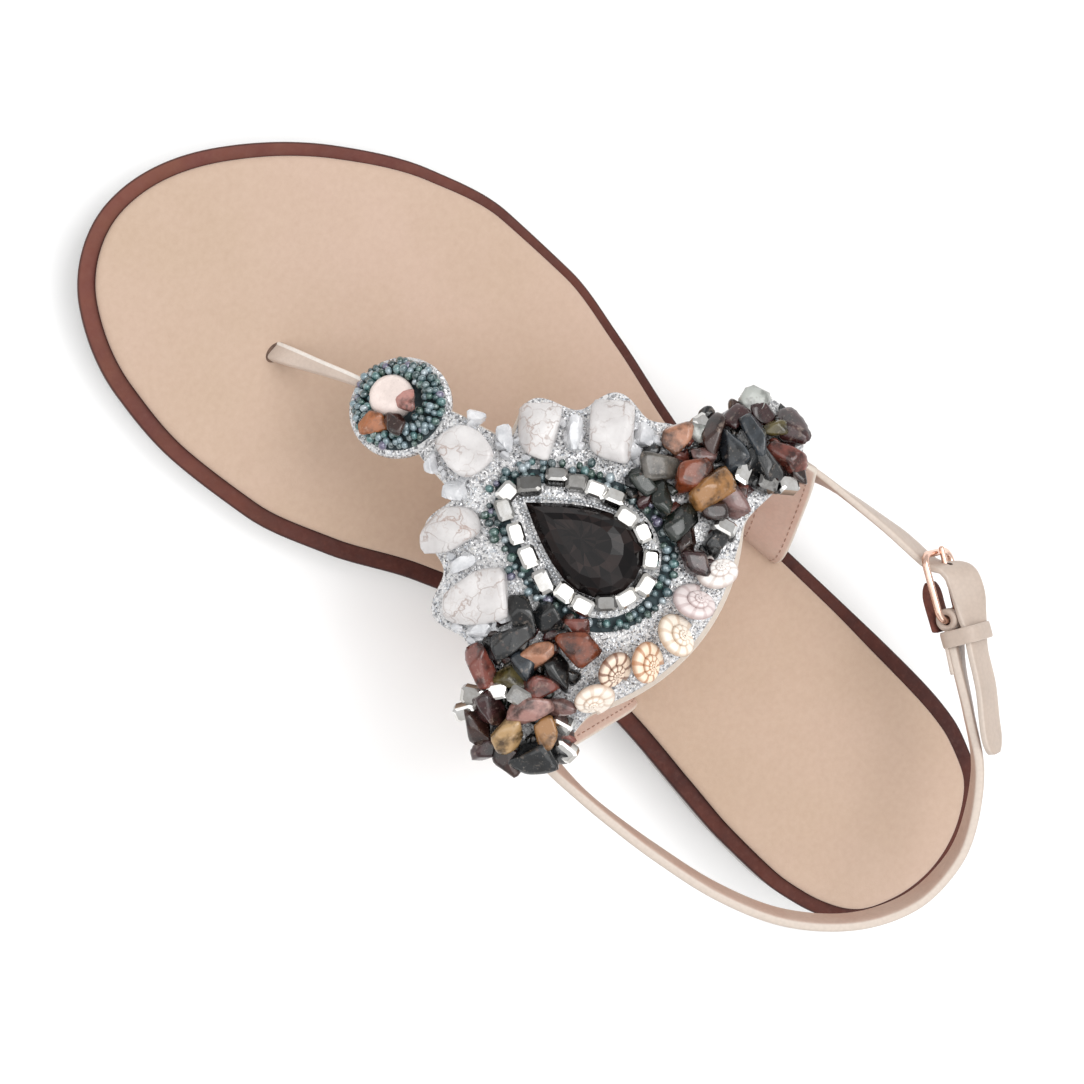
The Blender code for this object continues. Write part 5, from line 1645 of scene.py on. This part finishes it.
def make_mirrors():
    """Square mirror beads strung round the crystal, and loose ones among the chips."""
    rng = np.random.default_rng(seed=8)
    line = np.stack(strung(360, MIRROR_OUTSET))
    ring = np.array(MIRRORS)
    nearest = np.argmin(np.linalg.norm(ring[:, None] - line[:2].T[None], axis=-1), axis=1)
    loose = np.array(LOOSE_MIRRORS)
    total = len(ring) + len(loose)
    sizes = rng.uniform(MIRROR_SMALLEST, MIRROR_LARGEST, (total, 3))
    shapes, quads = chamfered_block(sizes)
    turn = np.concatenate([line[2, nearest], loose[:, 2]]) + rng.normal(0.0, 6.0, total)
    lift = np.concatenate([np.full(len(ring), GAP), loose[:, 3] + GAP])
    station, across = np.vstack([ring, loose[:, :2]]).T
    place, axes = seats(station, across, turn, lift)
    tilt = rng.normal(0.0, 0.26, (total, 1))
    ahead, side, out = np.moveaxis(axes, 1, 0)
    axes = np.stack([ahead, unit(side + tilt * out), unit(out - tilt * side)], axis=-2)
    # painted reflection: each bead gets its own silver level and darkens down its sides towards its foot, as
    # if mirroring the dark gaps round it
    silver = rng.choice((0.86, 0.68, 0.46, 0.22), total, p=(0.4, 0.3, 0.2, 0.1))
    brightness = silver[:, None] * (0.16 + 0.84 * shapes[..., 2] / sizes[:, None, 2])
    values = {"tint": np.repeat(brightness.reshape(-1, 1), 3, axis=1)}
    quads = repeated(quads, total, shapes.shape[1])
    points = seated(shapes, (place, axes))
    piece("mirror_beads", points, quads, MIRROR, ("mirror_ring",), values, True)


def tinted(colours, points_each):
    """Linear colours for every point of shapes laid one after another."""
    linear = np.array([shade(*colour)[:3] for colour in colours])
    return np.repeat(linear, points_each, axis=0)


def beads(name, seat, radius, colours, material, nodes):
    """Small round beads, one on each seat, a little shorter along their string."""
    grain, quads = ball(columns=10, rows=7)
    sizes = np.reshape(np.broadcast_to(radius, len(seat[0])), (-1, 1, 1))
    points = seated(grain[None] * sizes * (0.86, 1.0, 1.0) + sizes * (0.0, 0.0, 1.0), seat)
    values = {"tint": tinted(colours, len(grain))}
    piece(name, points, repeated(quads, len(seat[0]), len(grain)), material, nodes, values)


# seed bead colours as screen values
TEALS = np.array(
    [
        (36, 64, 66),
        (46, 76, 78),
        (58, 86, 92),
        (30, 52, 54),
        (84, 106, 114),
        (50, 86, 78),
        (118, 138, 146),
        (72, 112, 112),
        (98, 92, 118),
        (158, 170, 176),
        (40, 70, 60),
    ]
)


def make_bead_bed():
    """Dark bed under the seed beads, painted shade for the gaps between them: a low section carried round the
    crystal on the shield.
    """
    section = ((3.9, 0.2), (4.1, 0.7), (6.9, 0.7), (7.2, 0.2))
    rings = [on_shield(*strung(BED_POINTS, outset)[:2], lift)[0] for outset, lift in section]
    quads = loop_quads(BED_POINTS, len(section), ring=True)
    piece("seed_bead_bed", np.stack(rings, axis=1), quads, BEAD_GAP_SHADE)


def make_seed_beads():
    """Teal seed beads in two rows round the mirrors, a third towards the toe, and a silver line inside."""
    rng = np.random.default_rng(seed=12)
    near = np.stack(strung(54, 4.9))
    next_row = np.stack(strung(58, 6.7))[:, rng.uniform(size=58) < 0.9]
    outer = np.stack(strung(64, 8.4))
    outer = outer[:, (outer[0] > DROP_STATION + 3.0) & (rng.uniform(size=64) < 0.75)]
    station, across, yaw = np.concatenate([near, next_row, outer], axis=1)
    station = station + rng.normal(0.0, 0.3, len(station))
    across = across + rng.normal(0.0, 0.3, len(across))
    radius = rng.uniform(0.85, 1.3, len(station))
    colours = TEALS[rng.integers(0, len(TEALS), len(station))]
    beads("seed_beads", seats(station, across, yaw, GAP), radius, colours, PEARL, ("seed_ring",))
    station, across, yaw = strung(90, 0.75)
    silver = np.tile((206, 208, 212), (len(station), 1))
    beads("silver_seed_line", seats(station, across, yaw, GAP), 0.42, silver, PEARL, ())


def make_medallion():
    """Four rings of seed beads on a rounded bank, the round stone inside them, and chips round its rim."""
    rng = np.random.default_rng(seed=21)
    centre, axes = one_seat(MEDALLION_STATION, MEDALLION_ACROSS, MEDALLION_LIFT)
    rings = np.array(MEDALLION_RINGS)
    reach, rise = np.repeat(rings[:, :2], rings[:, 2].astype(int), axis=0).T
    angle = np.concatenate([np.linspace(0.0, FULL_TURN, int(count), endpoint=False) for count in rings[:, 2]])
    reach = reach + rng.normal(0.0, 0.25, len(angle))
    rise = rise + rng.normal(0.0, 0.15, len(angle))
    angle = angle + rng.normal(0.0, 0.03, len(angle))
    place = centre + np.column_stack([reach * np.cos(angle), reach * np.sin(angle), rise]) @ axes[0]
    course = np.column_stack([-np.sin(angle), np.cos(angle), np.zeros(len(angle))]) @ axes[0]
    normal = np.broadcast_to(axes[0, 2], course.shape)
    frames = np.stack([course, np.cross(normal, course), normal], axis=-2)
    colours = TEALS[rng.integers(0, len(TEALS), len(angle))]
    size = rng.uniform(0.8, 1.22, len(angle))
    beads("medallion_seed_beads", (place, frames), size, colours, PEARL, ("medallion_beads",))
    dome = ((0.0, 0.0), (4.8, 0.0), (5.1, 0.8), (5.1, 2.0), (4.9, 3.2))
    dome += ((4.3, 4.1), (3.2, 4.7), (1.7, 5.0), (0.0, 5.1))
    points, quads = turned(dome, sides=64)
    values = {"tint": tinted([(238, 222, 215)], len(points))}
    points = seated(
        points, one_seat(MEDALLION_STATION + STONE_AHEAD, MEDALLION_ACROSS + STONE_ACROSS, MEDALLION_LIFT)
    )
    piece("medallion_disc", points, quads, PINK_STONE, ("medallion_stone",), values)
    stones("medallion_chips", MEDALLION_CHIPS, 31, CHIP_STONE, (), own_colours(MEDALLION_CHIPS))


def cut_stones(sizes, seed, planes, sharpness, slack, columns, rows):
    """Tumbled stones standing on their seats.

    In each direction the surface lies where the sum of high powers of the distances to the cutting planes
    reaches one, so that planes meet in rounded edges; each stone is then fitted to its three sizes.
    """
    rng = np.random.default_rng(seed)
    count = len(sizes)
    direction, quads = ball(columns, rows)
    sides = np.broadcast_to(np.vstack([np.eye(3), -np.eye(3)]), (count, 6, 3))
    normal = np.concatenate([sides, unit(rng.normal(size=(count, planes, 3)))], axis=1)
    depth = np.concatenate([np.full((count, 6), slack), rng.uniform(*PLANE_DEPTHS, (count, planes))], axis=1)
    facing = np.einsum("mk,npk->nmp", direction, normal) / depth[:, None, :]
    reach = np.sum(np.clip(facing, 0.0, None) ** sharpness, axis=-1) ** (-1.0 / sharpness)
    shape = direction[None] * reach[..., None]
    return fitted(shape) * np.asarray(sizes, float)[:, None, :], quads


def stones(name, table, seed, material, nodes, colours, cut=(9, 20.0, 1.15), grid=(30, 18), flat=False):
    """Stones of a table, each on its seat on the shield, joined into one piece.

    The cut gives the number of loose planes, the sharpness of the edges and the slack of the six sides.
    """
    numbers = np.array([row[:6] for row in table], float)
    lift = np.array([row[7] if len(row) > 7 else 0.0 for row in table]) + GAP
    shapes, quads = cut_stones(numbers[:, 3:6], seed, *cut, *grid)
    seat = seats(numbers[:, 0], numbers[:, 1], numbers[:, 2], lift)
    values = {"tint": tinted(colours, shapes.shape[1])}
    total = repeated(quads, len(table), shapes.shape[1])
    piece(name, seated(shapes, seat), total, material, nodes, values, flat)


def own_colours(table):
    """Screen colours of the stones of a table."""
    return [STONE[row[6]] for row in table]


def strewn(table, count, spread, smallest, largest, seed):
    """Seats scattered round those of a table, kept on the shield: place, yaw and three sizes."""
    rng = np.random.default_rng(seed)
    centres = np.array([row[:2] for row in table])[rng.integers(0, len(table), count)]
    place = centres + rng.normal(0.0, spread, (count, 2))
    yaw = rng.uniform(0.0, 180.0, (count, 1))
    size = rng.uniform(smallest, largest, (count, 3))
    ahead = place[:, 0] - SHIELD_STATION
    edge = shield_radius(np.arctan2(place[:, 1], ahead))
    return np.hstack([place, yaw, size])[np.hypot(ahead, place[:, 1]) < edge - STREWN_MARGIN]


def numbered(kind, count):
    """Names of the numbered solids of one kind."""
    return tuple(f"{kind}_{number:02d}" for number in range(1, count + 1))


def make_stones():
    """White veined nuggets, clear crystals and polished chips, with smaller ones strewn between them."""
    names = numbered("white_nugget", len(NUGGETS))
    white = [(244, 243, 240)] * len(NUGGETS)
    stones("white_nuggets", NUGGETS, 3, HOWLITE, names, white, (8, 11.0, 1.0))
    names = numbered("small_crystal", CRYSTAL_SOLIDS)
    bits = strewn(CRYSTALS, 70, 2.4, smallest=(1.6, 1.3, 1.6), largest=(3.4, 2.6, 2.8), seed=61)
    for name, table, solids in (("small_crystals", CRYSTALS, names), ("crystal_bits", bits, ())):
        clear = [(240, 240, 244)] * len(table)
        stones(name, table, 5, CLEAR, solids, clear, (10, 40.0, 1.1), (20, 12), True)
    names = numbered("chip", CHIP_SOLIDS)
    stones("polished_chips", CHIPS, 17, CHIP_STONE, names, own_colours(CHIPS))
    pebbles = strewn(CHIPS, 150, 2.8, smallest=(2.8, 2.2, 2.0), largest=(4.8, 3.6, 3.4), seed=53)
    dark = [STONE[kind] for kind in ("black", "charcoal", "umber", "plum", "forest", "black", "brick")]
    shades = [dark[k % len(dark)] for k in range(len(pebbles))]
    stones("small_chips", pebbles, 29, CHIP_STONE, (), shades, grid=(18, 11))


def make_shells():
    """Turban shells: a round tube carried up a spiral, the tube and the spiral shrinking by one ratio."""
    turns = np.linspace(0.0, SHELL_TURNS * FULL_TURN, SHELL_STEPS)[:, None]
    around = np.linspace(0.0, FULL_TURN, SHELL_SIDES, endpoint=False)[None, :]
    shrink = np.exp(-SHELL_SHRINK * turns)
    reach = shrink * (SHELL_COIL + SHELL_TUBE * np.cos(around))
    rise = SHELL_CLIMB * (1.0 - shrink) + SHELL_TUBE * shrink * np.sin(around)
    tube = np.stack([reach * np.cos(turns), reach * np.sin(turns), rise], axis=-1)
    first, last = (np.tile(ring.mean(axis=0), (1, SHELL_SIDES, 1)) for ring in (tube[0], tube[-1]))
    rows = np.concatenate([first, tube, last])
    shape = fitted(rows.reshape(-1, 3))
    numbers = np.array([row[:4] for row in SHELLS])
    width = SHELL_SPREAD * numbers[:, 2]
    sizes = np.column_stack([width, width, numbers[:, 3] + SHELL_RISE])
    yaw = np.linspace(*SHELL_YAWS, len(SHELLS))
    place, axes = seats(numbers[:, 0], numbers[:, 1], yaw, GAP + SHELL_LIFT)
    ahead, side, normal = np.moveaxis(axes, 1, 0)
    cosine, sine = math.cos(SHELL_LEAN), math.sin(SHELL_LEAN)
    tipped = (cosine * ahead - sine * normal, side, cosine * normal + sine * ahead)
    points = seated(shape[None] * sizes[:, None, :], (place, np.stack(tipped, axis=1)))
    grid = (len(rows), SHELL_SIDES)
    quads = repeated(loop_quads(*grid), len(SHELLS), len(shape))
    course = np.concatenate([turns[:1], turns, turns[-1:]])
    winding = np.broadcast_to(course * SHELL_STRIPES, grid).ravel()
    suture = np.broadcast_to(np.abs(np.sin(around / 2.0 + math.pi / 2.0)), grid).ravel()
    values = {
        "winding": np.tile(winding, len(SHELLS)),
        "suture": np.tile(suture, len(SHELLS)),
        "tint": tinted([row[4] for row in SHELLS], len(shape)),
        "stripe": tinted([row[5] for row in SHELLS], len(shape)),
        "striped": np.repeat([row[6] for row in SHELLS], len(shape)),
    }
    names = tuple(f"shell_{number}" for number in range(1, len(SHELLS) + 1))
    piece("turban_shells", points, quads, SHELL_FINISH, names, values)


def make_grains():
    """Loose glitter: small eight-faced grains at seeded places on the cloth, each tilted its own way."""
    rng = np.random.default_rng(seed=40)
    angle = rng.uniform(-math.pi, math.pi, GRAIN_COUNT)
    edge = shield_radius(angle) - cloth_inset(angle) - GRAIN_MARGIN
    reach = np.sqrt(rng.uniform(0.0, 1.0, GRAIN_COUNT)) * edge
    station = SHIELD_STATION + reach * np.cos(angle)
    across = reach * np.sin(angle)
    place, axes = seats(station, across, rng.uniform(0.0, 360.0, GRAIN_COUNT), CLOTH_THICK)
    lean = rng.normal(0.0, 0.5, (GRAIN_COUNT, 2, 1))
    normal = unit(axes[:, 2] + lean[:, 0] * axes[:, 0] + lean[:, 1] * axes[:, 1])
    ahead = unit(axes[:, 0] - normal * np.sum(axes[:, 0] * normal, axis=-1, keepdims=True))
    frames = np.stack([ahead, np.cross(normal, ahead), normal], axis=-2)
    grain, quads = turned(((0.0, -1.0), (1.0, 0.0), (0.0, 1.0)), sides=4)
    sizes = (GRAIN_SMALLEST + GRAIN_SPREAD * rng.beta(1.2, 3.0, (GRAIN_COUNT, 1, 1))) * (1.0, 1.0, 0.7)
    points = seated(grain[None] * sizes, (place, frames))
    greys = np.array([(250, 250, 252), (236, 238, 242), (250, 246, 240), (214, 218, 226), (150, 152, 158)])
    values = {"tint": tinted(greys, 1)[np.repeat(rng.integers(0, len(greys), GRAIN_COUNT), len(grain))]}
    quads = repeated(quads, GRAIN_COUNT, len(grain))
    piece("glitter_grains", points, quads, PEARL, (), values, True)


# Stage


def make_stage():
    """Pale floor, four soft disc lights aimed at the shoe, and an even white surround."""
    mesh = bpy.data.meshes.new("floor")
    square = ((-1.0, -1.0), (1.0, -1.0), (1.0, 1.0), (-1.0, 1.0))
    corners = [(x * FLOOR_SPAN, y * FLOOR_SPAN, FLOOR) for x, y in square]
    mesh.from_pydata(corners, [], [(0, 1, 2, 3)])
    mesh.materials.append(make_floor_finish())
    floor = linked("floor", mesh)
    world = bpy.data.worlds.new("white_surround")
    world.use_nodes = True
    sky = world.node_tree.nodes["Background"]
    sky.inputs["Color"].default_value = (1.0, 1.0, 1.0, 1.0)
    sky.inputs["Strength"].default_value = SURROUND
    bpy.context.scene.world = world
    for name, spot, size, power in LAMPS:
        light = bpy.data.lights.new(name, "AREA")
        light.shape = "DISK"
        light.size = size
        light.energy = power
        lamp = linked(name, light)
        lamp.location = spot
        aim = np.array(LAMP_AIM) - np.array(spot)
        lamp.rotation_euler = Vector(aim).to_track_quat("-Z", "Y").to_euler()
    bpy.context.scene.view_settings.view_transform = "Standard"


def make_camera():
    """The photograph's viewpoint: its place, turned to the shoe's middle and rolled as the picture is."""
    ahead = np.array(CAMERA_AHEAD)
    right = np.array(CAMERA_RIGHT)
    up = np.cross(right, ahead)
    lens = bpy.data.cameras.new("view")
    lens.lens = CAMERA_LENS
    lens.sensor_width = CAMERA_SENSOR
    camera = linked("view", lens)
    turn = Matrix([right, up, -ahead]).transposed().to_4x4()
    turn.translation = CAMERA_PLACE
    camera.matrix_world = turn
    bpy.context.scene.camera = camera


make_outsole()
make_midsole()
make_insole()
make_shield()
make_medallion_pad()
make_post()
make_side_straps()
make_heel_strap()
make_front_strap()
make_frame()
make_prong()
make_keeper()
make_drop()
make_mirrors()
make_bead_bed()
make_seed_beads()
make_medallion()
make_stones()
make_shells()
make_grains()
make_stage()
make_camera()
